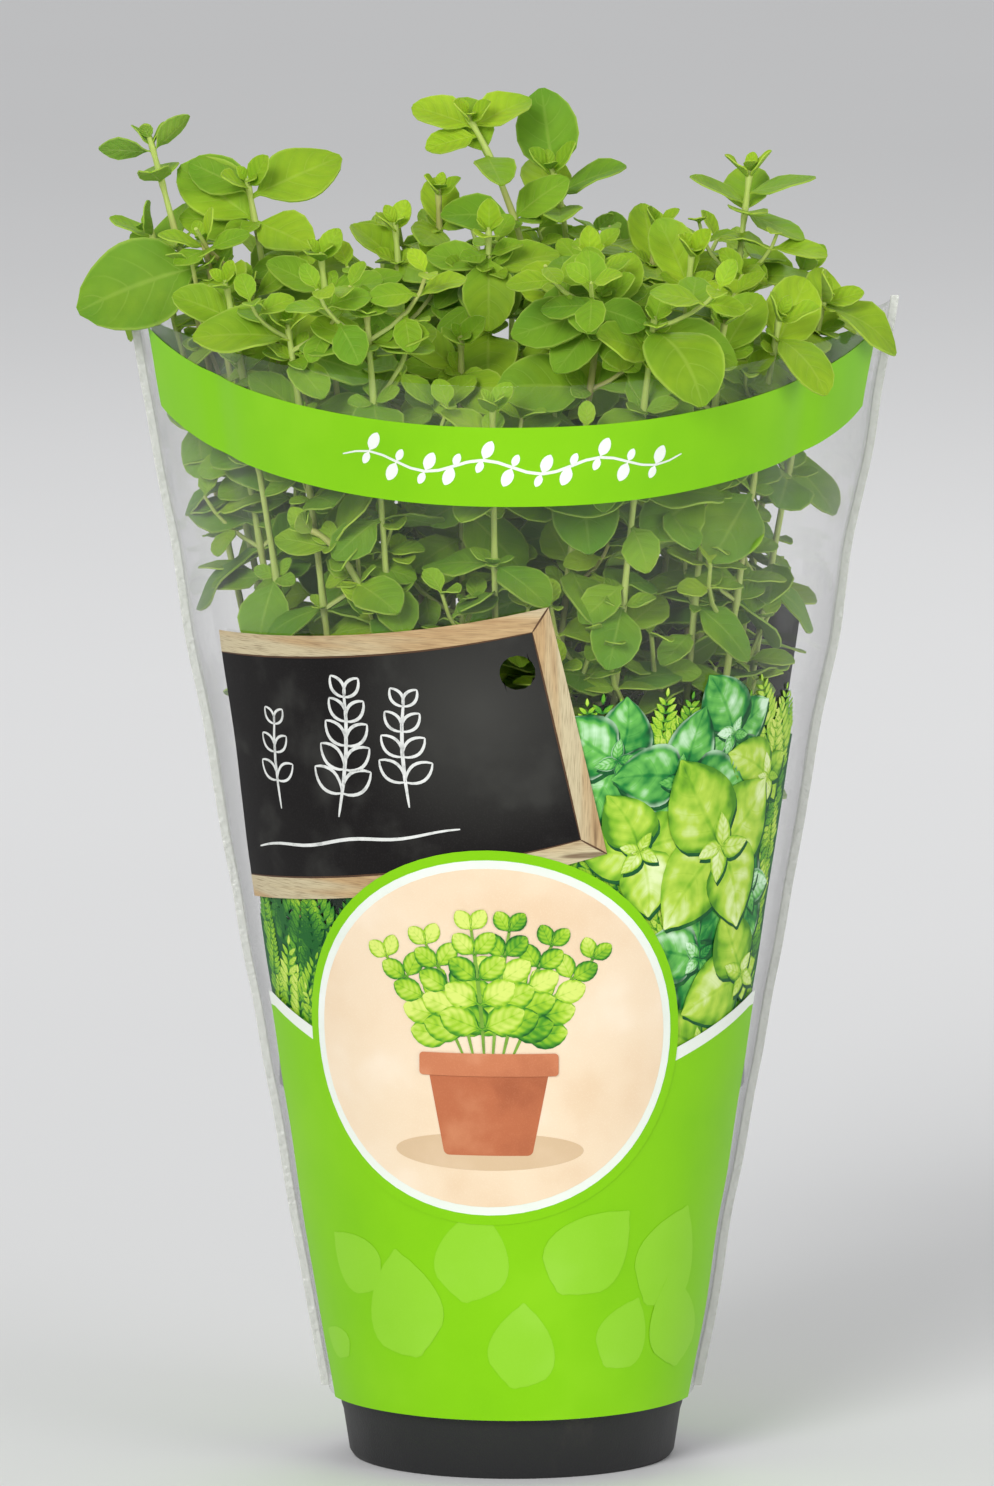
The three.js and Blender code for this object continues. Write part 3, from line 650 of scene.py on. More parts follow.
def cut_drain(mesh, centre):
    """Opens one round hole through the gutter and walls it."""
    def distance(vert):
        return math.hypot(vert.co.x - centre.x, vert.co.y - centre.y)
    inside = [vert for vert in mesh.verts if vert.co.z < 5 and distance(vert) < 0.7 * DRAIN_RADIUS]
    bmesh.ops.delete(mesh, geom=inside, context="VERTS")
    rim = [edge for edge in mesh.edges if edge.is_boundary]
    for vert in {vert for edge in rim for vert in edge.verts}:
        scale = DRAIN_RADIUS / distance(vert)
        vert.co.x = centre.x + (vert.co.x - centre.x) * scale
        vert.co.y = centre.y + (vert.co.y - centre.y) * scale
    bmesh.ops.bridge_loops(mesh, edges=rim)


def pot_outline():
    """The pot's section, as (radius, height): under the foot, up the wall, round the lip and back down."""
    drain = [DRAIN_CIRCLE - DRAIN_RADIUS, DRAIN_CIRCLE, DRAIN_CIRCLE + DRAIN_RADIUS]
    near, far = GUTTER_SPAN
    low, high = PROUD_LEVELS
    under_lip = LIP_RADIUS - LIP_WALL
    roof = POT_FLOOR + GUTTER_RISE
    outline = [(0, 0), (near - 2, 0), (near, GUTTER_RISE)] + [(radius, GUTTER_RISE) for radius in drain]
    outline += [(far, GUTTER_RISE), (far + 2, 0)]
    outline += [(POT_FOOT_RADIUS - 1, 0), (POT_FOOT_RADIUS, POT_FOOT_CHAMFER)]
    outline += [(pot_radius(low), low), (pot_radius(low) + 0.5, low + 1.5), (pot_radius(high) + 0.1, high)]
    outline += [(pot_radius(LIP_CEILING), LIP_CEILING), (under_lip, LIP_CEILING), (under_lip, LIP_LEVEL)]
    outline += [(LIP_RADIUS - 0.6, LIP_LEVEL - 0.2), (LIP_RADIUS, LIP_LEVEL), (LIP_RADIUS, POT_HEIGHT - 1)]
    outline += [(LIP_RADIUS - 0.6, POT_HEIGHT - 0.2), (LIP_RADIUS - 1.6, POT_HEIGHT)]
    outline += [(pot_radius(POT_HEIGHT) - POT_WALL, POT_HEIGHT), (pot_radius(2.4) - POT_WALL, 2.4)]
    outline += [(far + 3, POT_FLOOR), (far + 1, roof)] + [(radius, roof) for radius in reversed(drain)]
    return outline + [(near - 1, roof), (near - 3, POT_FLOOR), (0, POT_FLOOR)]


def make_pot():
    piece = Piece(pot_paint())
    turned(piece.mesh, pot_outline(), ROUND_STEPS)
    for drain in range(DRAIN_COUNT):
        angle = (drain + 0.5) / DRAIN_COUNT * 360
        cut_drain(piece.mesh, DRAIN_CIRCLE * pointing(angle))
    bmesh.ops.recalc_face_normals(piece.mesh, faces=piece.mesh.faces)
    pot = piece.finish("pot_shell", "pot_plastic", "nursery_pot", smooth_degrees=50)
    edges = pot.modifiers.new("moulded_edges", "BEVEL")
    edges.width = 0.3 * MM
    edges.segments = 2
    edges.limit_method = "ANGLE"
    edges.angle_limit = math.radians(40)
    return pot


# ---- Soil ----

def soil_height(x, y):
    share = math.hypot(x, y) / (pot_radius(SOIL_EDGE_HEIGHT) - POT_WALL)
    return SOIL_MIDDLE_HEIGHT + (SOIL_EDGE_HEIGHT - SOIL_MIDDLE_HEIGHT) * share


def make_soil(dice):
    piece = Piece(soil_paint())
    edge = pot_radius(SOIL_EDGE_HEIGHT) - POT_WALL - SEAT_GAP
    floor_edge = pot_radius(SOIL_FLOOR) - POT_WALL - SEAT_GAP
    outline = [(0, SOIL_FLOOR), (floor_edge, SOIL_FLOOR), (edge, SOIL_EDGE_HEIGHT)]
    for ring in range(SOIL_RINGS - 1, -1, -1):
        radius = edge * ring / SOIL_RINGS
        outline.append((radius, soil_height(radius, 0)))
    turned(piece.mesh, outline, ROUND_STEPS)
    for vert in piece.mesh.verts:
        if vert.co.z > SOIL_EDGE_HEIGHT - 1 and math.hypot(vert.co.x, vert.co.y) < edge - 1:
            vert.co.z += 1.6 * noise.noise(vert.co * 0.16) + 0.7 * noise.noise(vert.co * 0.5)
    for _ in range(CRUMBS):
        reach = (edge - 2) * math.sqrt(dice.random())
        angle = dice.uniform(0, 2 * math.pi)
        x, y = reach * math.cos(angle), reach * math.sin(angle)
        size = dice.uniform(*CRUMB_RADII)
        place = Matrix.Translation((x, y, soil_height(x, y) + 0.3))
        turn = Matrix.Rotation(dice.uniform(0, 6), 4, (dice.random(), dice.random(), 1))
        squash = Matrix.Diagonal((size * 1.3, size, size * 0.7, 1))
        crumb = bmesh.ops.create_icosphere(piece.mesh, subdivisions=1, radius=1, matrix=place @ turn @ squash)
        piece.dress(faces_of(crumb["verts"]), 0, tone=1 if dice.random() < PALE_CRUMBS else 0)
    return piece.finish("soil_bed", "potting_soil", "soil")


# ---- Sleeve ----

def sleeve_half(height):
    return SLEEVE_LIP_RADIUS + SLEEVE_TAPER * (height - LIP_LEVEL)


def sleeve_top(angle):
    return SLEEVE_CORNER_TOP - SLEEVE_TOP_DIP * (1 - (angle / (math.pi / 2)) ** 2)


def sleeve_bottom(angle):
    return SLEEVE_BOTTOM + SLEEVE_CORNER_LIFT * (angle / (math.pi / 2)) ** 2


def film_point(side, angle, height, lift):
    """A place on the film. side is -1 in front and 1 behind, angle is 0 in a panel's middle."""
    half = sleeve_half(height)
    free = smoothstep(height, LIP_LEVEL, SLEEVE_CORNER_TOP)
    middle = math.cos(angle)
    bulge = max(middle, 0) ** (1 + SLEEVE_FLATTEN * free)
    slack = 0.25 + 0.75 * free
    wave = noise.noise(Vector((angle * 2.4, height * 0.014, side * 3)))
    crease = math.exp(-((abs(angle) - 0.93) / 0.05) ** 2) * smoothstep(height, 200, 290)
    lift += max(middle, 0) ** 0.5 * (slack * (0.5 + 0.9 * wave) - 1.1 * crease)
    sway = 0.5 + 0.8 * noise.noise(Vector((math.copysign(4, angle), 0, height * 0.04)))
    across = (half + lift + sway * abs(math.sin(angle)) ** 3) * math.sin(angle)
    return Vector((across, side * (SEAM_GAP / 2 + lift + half * bulge), height))


def reverse_to_face(mesh, side):
    """Turns every face of one panel's sheet outwards."""
    bmesh.ops.recalc_face_normals(mesh, faces=mesh.faces[:])
    lean = sum(face.normal.y * face.calc_area() for face in mesh.faces)
    if lean * side < 0:
        bmesh.ops.reverse_faces(mesh, faces=mesh.faces[:])


def open_vent(mesh, reach, unroll, flat):
    """Removes the squares within reach of the vent's middle and closes in on its round edge.

    unroll turns a corner's place into millimetres across and up, and flat turns them back.
    """
    middle = Vector(VENT_PLACE)
    inside = [face for face in mesh.faces if (unroll(face.calc_center_median()) - middle).length < reach]
    edges = {edge for face in inside for edge in face.edges}
    rim = [edge for edge in edges if sum(face in inside for face in edge.link_faces) == 1]
    bmesh.ops.delete(mesh, geom=inside, context="FACES")
    for corner in bmesh.ops.extrude_edge_only(mesh, edges=rim)["geom"]:
        if isinstance(corner, bmesh.types.BMVert):
            away = (unroll(corner.co) - middle).normalized()
            corner.co = (*flat(middle + away * VENT_RADIUS), 0)


def make_film(side, name, node, paint):
    """One panel: a flat sheet of angles and shares of the height, bent to shape, with a weld on each edge."""
    piece = Piece(paint)
    mesh = piece.mesh
    step = math.pi / FILM_COLUMNS
    columns = FILM_COLUMNS + 2
    for vert in new_sheet(mesh, columns, FILM_ROWS):
        vert.co.x = vert.co.x * columns * step
        vert.co.y += 0.5

    def unroll(place):
        height = sleeve_bottom(place.x) + place.y * (sleeve_top(place.x) - sleeve_bottom(place.x))
        return Vector((place.x * sleeve_half(height), height))

    def flat(place):
        angle = place.x / sleeve_half(place.y)
        return angle, (place.y - sleeve_bottom(angle)) / (sleeve_top(angle) - sleeve_bottom(angle))

    if side < 0:
        open_vent(mesh, 7, unroll, flat)
    for vert in mesh.verts:
        beyond = abs(vert.co.x) > math.pi / 2 + step / 2
        angle = max(-math.pi / 2, min(math.pi / 2, vert.co.x))
        height = sleeve_bottom(angle) + vert.co.y * (sleeve_top(angle) - sleeve_bottom(angle))
        vert.co = film_point(side, angle, height, FILM_LIFT)
        vert[piece.tone] = 1 if abs(angle) > math.pi / 2 - step / 2 else 0
        if beyond:
            vert.co.x += math.copysign(SEAM_WIDTH, angle)
    reverse_to_face(mesh, side)
    bmesh.ops.solidify(mesh, geom=mesh.faces[:], thickness=FILM_THICKNESS)
    return piece.finish(name, "sleeve_film", node)


# ---- Printing on the sleeve ----

def margin_angle(height):
    """How far round a panel the printing goes at a height: its margin is wider behind the label."""
    margin = 2.5 + 3.5 * smoothstep(height, 30, 200) - 3 * smoothstep(height, 232, 256)
    return math.asin(1 - margin / sleeve_half(height))


def fitted(base, heading, length, width):
    """The length, up to the one asked for, at which a leaf stays inside the printed margins."""
    turn = math.radians(heading)
    low = base[1] + min(0, length * math.sin(turn))
    reach = sleeve_half(low) * margin_angle(low) - 1.5
    half = width / 2 * abs(math.sin(turn))
    right = (reach - base[0]) / max(math.cos(turn) + half, 0.1)
    left = (reach + base[0]) / max(half - math.cos(turn), 0.1)
    return min(length, right, left)


def finer(outline):
    """A leaf outline with places added halfway between its own, on a smooth curve through them."""
    places = list(outline)
    halves = [outline[place] for place in places]
    halves = [halves[0], *halves, halves[-1]]
    fuller = dict(outline)
    for index, (low, high) in enumerate(zip(places, places[1:])):
        before, start, end, after = halves[index:index + 4]
        fuller[(low + high) / 2] = (9 * (start + end) - before - after) / 16
    return dict(sorted(fuller.items()))


class Print(Piece):
    """Shapes printed on one panel. They are drawn flat, as millimetres round the panel and up it."""

    def __init__(self, side, *paints):
        super().__init__(*paints)
        self.side = side

    def press(self, verts, layer):
        """Bends flat vertices onto the film, to be read from outside. Higher layers cover lower ones."""
        for vert in verts:
            angle = -self.side * vert.co.x / sleeve_half(vert.co.y)
            lift = PRINT_LIFT + LAYER * layer
            vert.co = film_point(self.side, angle, vert.co.y, lift)

    def stack(self, name):
        """Gives everything drawn its thickness, inwards, and finishes the piece."""
        self.mesh.normal_update()
        inward = [face for face in self.mesh.faces if face.normal.y * self.side < 0]
        bmesh.ops.reverse_faces(self.mesh, faces=inward)
        bmesh.ops.solidify(self.mesh, geom=self.mesh.faces[:], thickness=PRINT_THICKNESS)
        self.finish(name, "sleeve_film")

    def field(self, low, high, layer, paint, rows, columns=64):
        """A field from margin to margin. low and high give its edges at shares, -1 to 1, of the way round."""
        verts = new_sheet(self.mesh, columns, rows)
        for vert in verts:
            share = vert.co.x * 2
            height = low(share) + (vert.co.y + 0.5) * (high(share) - low(share))
            vert.co = (share * margin_angle(height) * sleeve_half(height), height, 0)
        shares = {vert: (vert.co.x / 100, vert.co.y / 100) for vert in verts}
        self.dress(faces_of(verts), paint, shares)
        self.press(verts, layer)

    def lay(self, verts, layer, paint, upright=False):
        """Cuts a flat outline into strips that can bend with the film, and presses it on.

        The grain of upright shapes runs up the panel, and that of the others round it.
        """
        faces = set(faces_of(verts))
        for axis, spacing in ((0, 3), (1, 9)):
            values = [vert.co[axis] for face in faces for vert in face.verts]
            normal = Vector((1 - axis, axis, 0))
            for cut in range(math.ceil(min(values) / spacing), math.floor(max(values) / spacing) + 1):
                edges = {edge for face in faces for edge in face.edges}
                corners = {vert for face in faces for vert in face.verts}
                geometry = [*corners, *edges, *faces]
                place = normal * cut * spacing
                split = bmesh.ops.bisect_plane(self.mesh, geom=geometry, plane_co=place, plane_no=normal)
                faces |= {item for item in split["geom"] if isinstance(item, bmesh.types.BMFace)}
        corners = {vert for face in faces for vert in face.verts}
        shares = {}
        for vert in corners:
            grain, other = (vert.co.y, vert.co.x) if upright else (vert.co.x, vert.co.y)
            shares[vert] = (grain / 100, other / 100)
        self.dress(faces, paint, shares)
        self.press(corners, layer)

    def disc(self, centre, radii, layer, paint, segments=72):
        verts = bmesh.ops.create_circle(self.mesh, cap_ends=True, segments=segments, radius=1)["verts"]
        bmesh.ops.scale(self.mesh, vec=(radii[0], radii[1], 1), verts=verts)
        bmesh.ops.translate(self.mesh, vec=(centre[0], centre[1], 0), verts=verts)
        self.lay(verts, layer, paint)

    def block(self, corners, layer, paint, rounding=0, upright=False):
        verts = [self.mesh.verts.new((x, y, 0)) for x, y in corners]
        self.mesh.faces.new(verts)
        if rounding:
            way = {"affect": "VERTICES", "segments": 5, "profile": 0.5, "material": -1}
            verts = bmesh.ops.bevel(self.mesh, geom=verts, offset=rounding, **way)["verts"]
        self.lay(verts, layer, paint, upright)

    def leaf(self, base, heading, length, layer, paint, tone=0.5, bend=0, width=LEAF_WIDTH, outline=None):
        """A printed leaf that grows from base towards heading, in degrees from level."""
        outline = outline or LEAF_OUTLINE
        if length > FINE_PRINT:
            outline = finer(outline)
        grid = leaf_grid(self.mesh, outline, 2 * max(1, round(width * length / 5)))
        for vert, (share, across, half) in grid.items():
            forward = pointing(heading + bend * share)
            sideways = Vector((-forward.y, forward.x))
            aside = across * half * width * length / 2
            vert.co = (*(Vector(base) + forward * share * length + sideways * aside), 0)
        self.dress(faces_of(grid), paint, leaf_shares(grid), tone)
        self.press(grid, layer)

    def frond(self, base, heading, length, layer, paint, tone):
        """A printed spray of narrow leaves in pairs, which get shorter and paler towards its tip."""
        for leaf in range(FROND_LEAVES):
            pair = leaf // 2
            share = 0.08 + 0.14 * pair
            aside = 0 if leaf == FROND_LEAVES - 1 else 48 * (-1) ** leaf
            small = length * (0.44 - 0.3 * share)
            place = Vector(base) + pointing(heading) * length * share
            level = layer + 0.12 * pair
            shade = tone + 0.45 * share
            self.leaf(place, heading + aside, small, level, paint, shade, 0, 0.46, NARROW_OUTLINE)

    def stroke(self, points, width, layer, paint):
        """A drawn line through flat points, tapering at its ends."""
        verts = new_sheet(self.mesh, len(points) * 4, 1)
        for vert in verts:
            share = vert.co.x + 0.5
            here = along_points(points, share)
            ahead = along_points(points, min(share + 0.02, 1)) - along_points(points, max(share - 0.02, 0))
            ahead.normalize()
            half = width * (0.35 + 0.65 * math.sin(math.pi * share) ** 0.5) * vert.co.y
            vert.co = (here.x - ahead.y * half, here.y + ahead.x * half, 0)
        self.dress(faces_of(verts), paint)
        self.press(verts, layer)


def along_points(points, share):
    place = share * (len(points) - 1)
    index = min(int(place), len(points) - 2)
    return Vector(points[index]).lerp(Vector(points[index + 1]), place - index)


def sprig(drawing, layer, paint, base, rise, sway, pairs, size, line):
    """A drawn stem with open leaves, each drawn as two bowed lines."""
    shares = (0, 0.25, 0.5, 0.75, 1)
    points = [(base[0] + sway * math.sin(2.4 * share), base[1] + rise * share) for share in shares]
    drawing.stroke(points, line, layer, paint)
    for pair in range(pairs):
        share = (pair + 1) / (pairs + 0.4)
        root = along_points(points, share)
        length = size * (1.1 - 0.5 * share)
        for side in (-1, 1):
            forward = pointing(90 - side * (58 - 22 * share))
            outward = Vector((-forward.y, forward.x)) * 0.27 * length
            for bow in (-1, 1):
                arc = []
                for step in range(9):
                    away = math.sin(math.pi * step / 8) ** 0.8
                    arc.append(root + forward * length * step / 8 + outward * bow * away)
                drawing.stroke(arc, line * 0.8, layer, paint)


def make_band(side, name, paints):
    """The plain band round the top, with a pale running vine along its middle."""
    drawing = Print(side, *paints)
    lime, white = range(2)

    def top(share):
        angle = share * margin_angle(BAND_TOP)
        return BAND_TOP + BAND_RISE * abs(angle / (math.pi / 2)) ** 2.3

    drawing.field(lambda share: top(share) - BAND_HEIGHT, top, 0, lime, rows=6, columns=72)
    points = []
    for step in range(VINE_STEPS + 1):
        share = step / VINE_STEPS
        across = VINE_REACH * (2 * share - 1)
        middle = top(across / (sleeve_half(BAND_TOP) * margin_angle(BAND_TOP))) - BAND_HEIGHT / 2
        points.append((across, middle + 1.8 * math.sin(share * 6 * math.pi)))
    drawing.stroke(points, 0.8, 1, white)
    for step in range(2, VINE_STEPS - 1, 2):
        way = 1 if step % 4 else -1
        drawing.leaf(points[step], 90 * way - 25, 5.4, 1, white, width=0.55)
        drawing.leaf(points[step], 90 * -way - 25, 3.6, 1, white, width=0.55)
    drawing.stack(name)


def stripe_height(across):
    """Where the white stripe runs: low in the middle, and higher towards the margins."""
    return STRIPE_MIDDLE + STRIPE_RISE * min(abs(across) / 60, 1.2) ** 1.3


def make_ground(side, name, paints, dice):
    """The lime field below the stripe, with the stripe and soft pale leaves."""
    drawing = Print(side, *paints)
    lime, white, pale_lime = range(3)
    span = sleeve_half(STRIPE_MIDDLE) * margin_angle(STRIPE_MIDDLE)

    def bottom(share):
        return sleeve_bottom(share * margin_angle(SLEEVE_BOTTOM)) + 0.3

    def top(share):
        return stripe_height(share * span)

    drawing.field(bottom, top, GROUND_LAYER, lime, rows=28)
    drawing.field(top, lambda share: top(share) + STRIPE_HEIGHT, GROUND_LAYER + 1, white, rows=1)
    for number in range(GROUND_LEAVES):
        place = (number - GROUND_LEAVES // 2) * 12, 25 + 19 * (number % 2) + dice.uniform(0, 8)
        heading = 90 - place[0] * 0.6 + dice.uniform(-35, 35)
        length = min(dice.uniform(20, 30), stripe_height(place[0]) - place[1] - 6)
        length = fitted(place, heading, length, 0.75)
        layer = GROUND_LAYER + 1.5 + number % 3 * 0.8
        bend = dice.uniform(-15, 15)
        drawing.leaf(place, heading, length, layer, pale_lime, 0, bend, 0.75, POINTED_OUTLINE)
    drawing.stack(name)


def is_covered(across, up):
    """Whether the label or the medallion hides a place on the panel."""
    centre, radii = MEDALLION_CENTRE, MEDALLION_RADII
    if math.hypot((across - centre[0]) / radii[0], (up - centre[1]) / radii[1]) < 0.85:
        return True
    return across < 8 and up > 162


def garland_top(across):
    rise = smoothstep(across, *GARLAND_STEP)
    return GARLAND_LEFT + (GARLAND_RIGHT - GARLAND_LEFT) * rise + 2 * math.sin(across * 0.4)


def frond_shade(across, up):
    """How much darker the sprays are high on the low side of the garland."""
    return 0.45 * smoothstep(up, 112, 132) * smoothstep(-across, 10, 30)


def draw_plant(drawing, base, turn, reach, level, paint, dice):
    """A broad-leaved herb seen from above: four grown and four young leaves, each with a shadow."""
    tone = dice.uniform(0.3, 0.55)
    for leaf in range(8):
        young = leaf > 3
        heading = turn + leaf % 2 * 180 + leaf // 2 * 90 + 45 * young + dice.uniform(-12, 12)
        length = reach * (dice.uniform(0.28, 0.4) if young else dice.uniform(0.85, 1.1))
        width = 0.6 if young else dice.uniform(0.74, 0.95)
        length = fitted(base, heading, length, width)
        if length < 4:
            continue
        bend = dice.uniform(-20, 20)
        layer = 4.2 + 3.25 * level + 1.1 * min(leaf // 2, 2)
        shade = tone + 0.2 * young + dice.uniform(-0.25, 0.25)
        below = base[0] + 0.5, base[1] - 1
        drawing.leaf(below, heading, length, layer, DEEP_GREEN, 0, bend, width, POINTED_OUTLINE)
        drawing.leaf(base, heading, length, layer + 0.55, paint, shade, bend, width, POINTED_OUTLINE)


def make_garland(side, name, paints, dice):
    """Printed herbs behind the stripe, higher on one side: feathery sprays round broad-leaved plants."""
    drawing = Print(side, *paints)
    span = sleeve_half(GARLAND_LEFT) * margin_angle(GARLAND_LEFT)
    size = {"rows": 26, "columns": 84}
    drawing.field(lambda share: 92, lambda share: garland_top(share * span) - 14, 0, DEEP_GREEN, **size)
    for number in range(FROND_ROWS * ROW_FRONDS):
        row, place = divmod(number, ROW_FRONDS)
        up = 95 + row * 7 + dice.uniform(-3, 3)
        place = place + 0.5 * (row % 2) + dice.uniform(-0.3, 0.3) - 9.8
        across = sleeve_half(up) * margin_angle(up) * place * 2 / ROW_FRONDS
        heading = 90 + dice.uniform(-28, 28)
        length = fitted((across, up), heading, dice.uniform(13, 19), 0.5)
        if length > 5 and up < garland_top(across) - 8 and not is_covered(across, up):
            tone = dice.uniform(-0.1, 0.5) - frond_shade(across, up)
            drawing.frond((across, up), heading, length, 0.7 + number % 4 * 0.8, HERB, tone)
    for number in range(MARGIN_FRONDS):
        way = 1 if number % 2 else -1
        up = 96 + number * 2.3
        across = way * (sleeve_half(up) * margin_angle(up) - 4)
        if up < garland_top(across) - 8:
            heading = 90 + dice.uniform(-6, 6)
            tone = dice.uniform(0.1, 0.5) - frond_shade(across, up)
            drawing.frond((across, up), heading, 11, 0.9 + number % 3 * 0.8, HERB, tone)
    for across, up, turn, reach, level, paint in PLANTS:
        draw_plant(drawing, (across, up), turn, reach, level, paint, dice)
    drawing.stack(name)


def label_place(across, up):
    """A flat place on the label, from shares of its width and height. Its long edges sag in the middle."""
    low_left, low_right, high_right, high_left = (Vector(corner) for corner in LABEL_CORNERS)
    place = low_left.lerp(low_right, across).lerp(high_left.lerp(high_right, across), up)
    return place - Vector((0, 4 * LABEL_SAG * across * (1 - across)))


def label_line(start, end, steps=10):
    """Flat places on the way from one place on the label to another."""
    return [label_place(*Vector(start).lerp(Vector(end), step / steps)) for step in range(steps + 1)]


def make_label(side, name, paints):
    """A slate with chalk sprigs over a ruled line. Timber frames all its edges but the left one."""
    drawing = Print(side, *paints)
    slate, timber, chalk, timber_shadow = range(4)
    for vert in new_sheet(drawing.mesh, 44, 28, 0.49):
        vert.co = (*label_place((vert.co.x + 0.49) * 1.01, vert.co.y + 0.5), 0)
    if side < 0:
        open_vent(drawing.mesh, 5.5, lambda place: place.xy, lambda place: place)
    verts = drawing.mesh.verts[:]
    # The slate is paler towards one place high on it, fading out within a reach.
    pale_patch = {vert: max(0, 1 - (vert.co.xy - Vector(PALE_PATCH_PLACE)).length / PALE_PATCH_REACH) for vert in verts}
    drawing.dress(drawing.mesh.faces[:], slate, tone=lambda vert: pale_patch[vert])
    drawing.press(verts, LABEL_LAYER)
    wide, tall = LABEL_FRAME
    outer = [(0, 0), (1, 0), (1, 1), (0, 1)]
    inner = [(0, tall), (1 - wide, tall), (1 - wide, 1 - tall), (0, 1 - tall)]
    for edge in range(3):
        ahead = edge + 1
        bar = label_line(outer[edge], outer[ahead]) + label_line(inner[ahead], inner[edge])
        drawing.block(bar, LABEL_LAYER + 1, timber, upright=edge == 1)
        drawing.stroke(label_line(inner[edge], inner[ahead]), 0.5, LABEL_LAYER + 1.5, timber_shadow)
        if edge > 0:
            drawing.stroke(label_line(inner[edge], outer[edge]), 0.5, LABEL_LAYER + 1.5, timber_shadow)
    for row in SPRIGS:
        sprig(drawing, LABEL_LAYER + 1, chalk, *row)
    line = [(-76 + 3 * step, 163 + 0.45 * step + 0.5 * math.sin(0.7 * step)) for step in range(22)]
    drawing.stroke(line, 0.9, LABEL_LAYER + 1, chalk)
    drawing.stack(name)


def make_medallion(side, name, paints):
    """A round picture of a potted herb between a lime and a white ring."""
    drawing = Print(side, *paints)
    across, up = MEDALLION_CENTRE
    wide, tall = MEDALLION_RADII
    layer = MEDALLION_LAYER
    lime, white, cream, shadow, clay, clay_rim, stalk, herb = range(8)
    drawing.disc((across, up), (wide, tall), layer, lime)
    drawing.disc((across, up), (wide - 2.6, tall - 2.6), layer + 1, white)
    drawing.disc((across, up), (wide - 4.8, tall - 4.8), layer + 2, cream)
    drawing.disc((across, up - 30), (24, 5), layer + 2.8, shadow)
    pot = [(across - 11, up - 31), (across + 11, up - 31), (across + 15.5, up - 7), (across - 15.5, up - 7)]
    drawing.block(pot, layer + 3.4, clay, rounding=1.2)
    left, right = across - 17.5, across + 17.5
    rim = [(left, up - 10), (right, up - 10), (right, up - 4), (left, up - 4)]
    drawing.block(rim, layer + 9.4, clay_rim, rounding=1)
    for stem, lean in enumerate(PICTURE_STEMS):
        height = 38 - 14 * abs(lean)
        points = []
        for step in range(6):
            share = step / 5
            points.append((across + 8 * lean + 30 * lean * share ** 1.4, up - 5 + height * share))
        below = layer + 3.6 + 0.9 * stem
        drawing.stroke(points, 1, below, stalk)
        for pair in range(PICTURE_PAIRS):
            root = along_points(points, 0.2 + 0.18 * pair)
            length = 11.5 - 1.3 * pair
            tone = 0.3 + 0.13 * ((stem * 3 + pair * 2) % 6)
            for way in (-1, 1):
                heading = 90 - 24 * lean + way * (66 - 8 * pair)
                drawing.leaf(root, heading, length, below + 0.15 + 0.14 * pair, herb, tone, width=0.7)
    drawing.stack(name)


# ---- Leaves ----

def leaf_grid(mesh, outline, columns):
    """A new sheet. Each corner has its share of the length, its side, -1 to 1, and the half width there."""
    shares = list(outline)
    rows = len(shares) - 1
    grid = {}
    for vert in new_sheet(mesh, rows, columns):
        share = shares[round((vert.co.x + 0.5) * rows)]
        grid[vert] = share, vert.co.y * 2, outline[share]
    return grid


def leaf_shares(grid):
    return {vert: (share, 0.5 + 0.5 * side) for vert, (share, side, _) in grid.items()}


class Stance:
    """Where a leaf starts, its own directions and its curve."""

    def __init__(self, start, up, heading, pitch, sweep, roll, length):
        level = pointing(heading).to_3d()
        self.start = start
        self.up = up
        self.out = (level - up * level.dot(up)).normalized()
        self.across = self.out.cross(up)
        self.length = length
        self.pitch = math.radians(pitch)
        self.sweep = math.radians(sweep)
        self.roll = math.radians(roll)

    def point(self, share, wide, raised, turn=0):
        """A place on the leaf: wide is to one side of the midrib and raised is off its upper face."""
        arc = self.length / self.sweep
        tilt = self.pitch - self.sweep * share
        reach = arc * (math.sin(self.pitch) - math.sin(tilt))
        rise = arc * (math.cos(tilt) - math.cos(self.pitch))
        roll = self.roll + turn
        sideways = wide * math.cos(roll) - raised * math.sin(roll)
        lifted = wide * math.sin(roll) + raised * math.cos(roll)
        along = self.out * (reach - lifted * math.sin(tilt))
        return self.start + along + self.up * (rise + lifted * math.cos(tilt)) + self.across * sideways


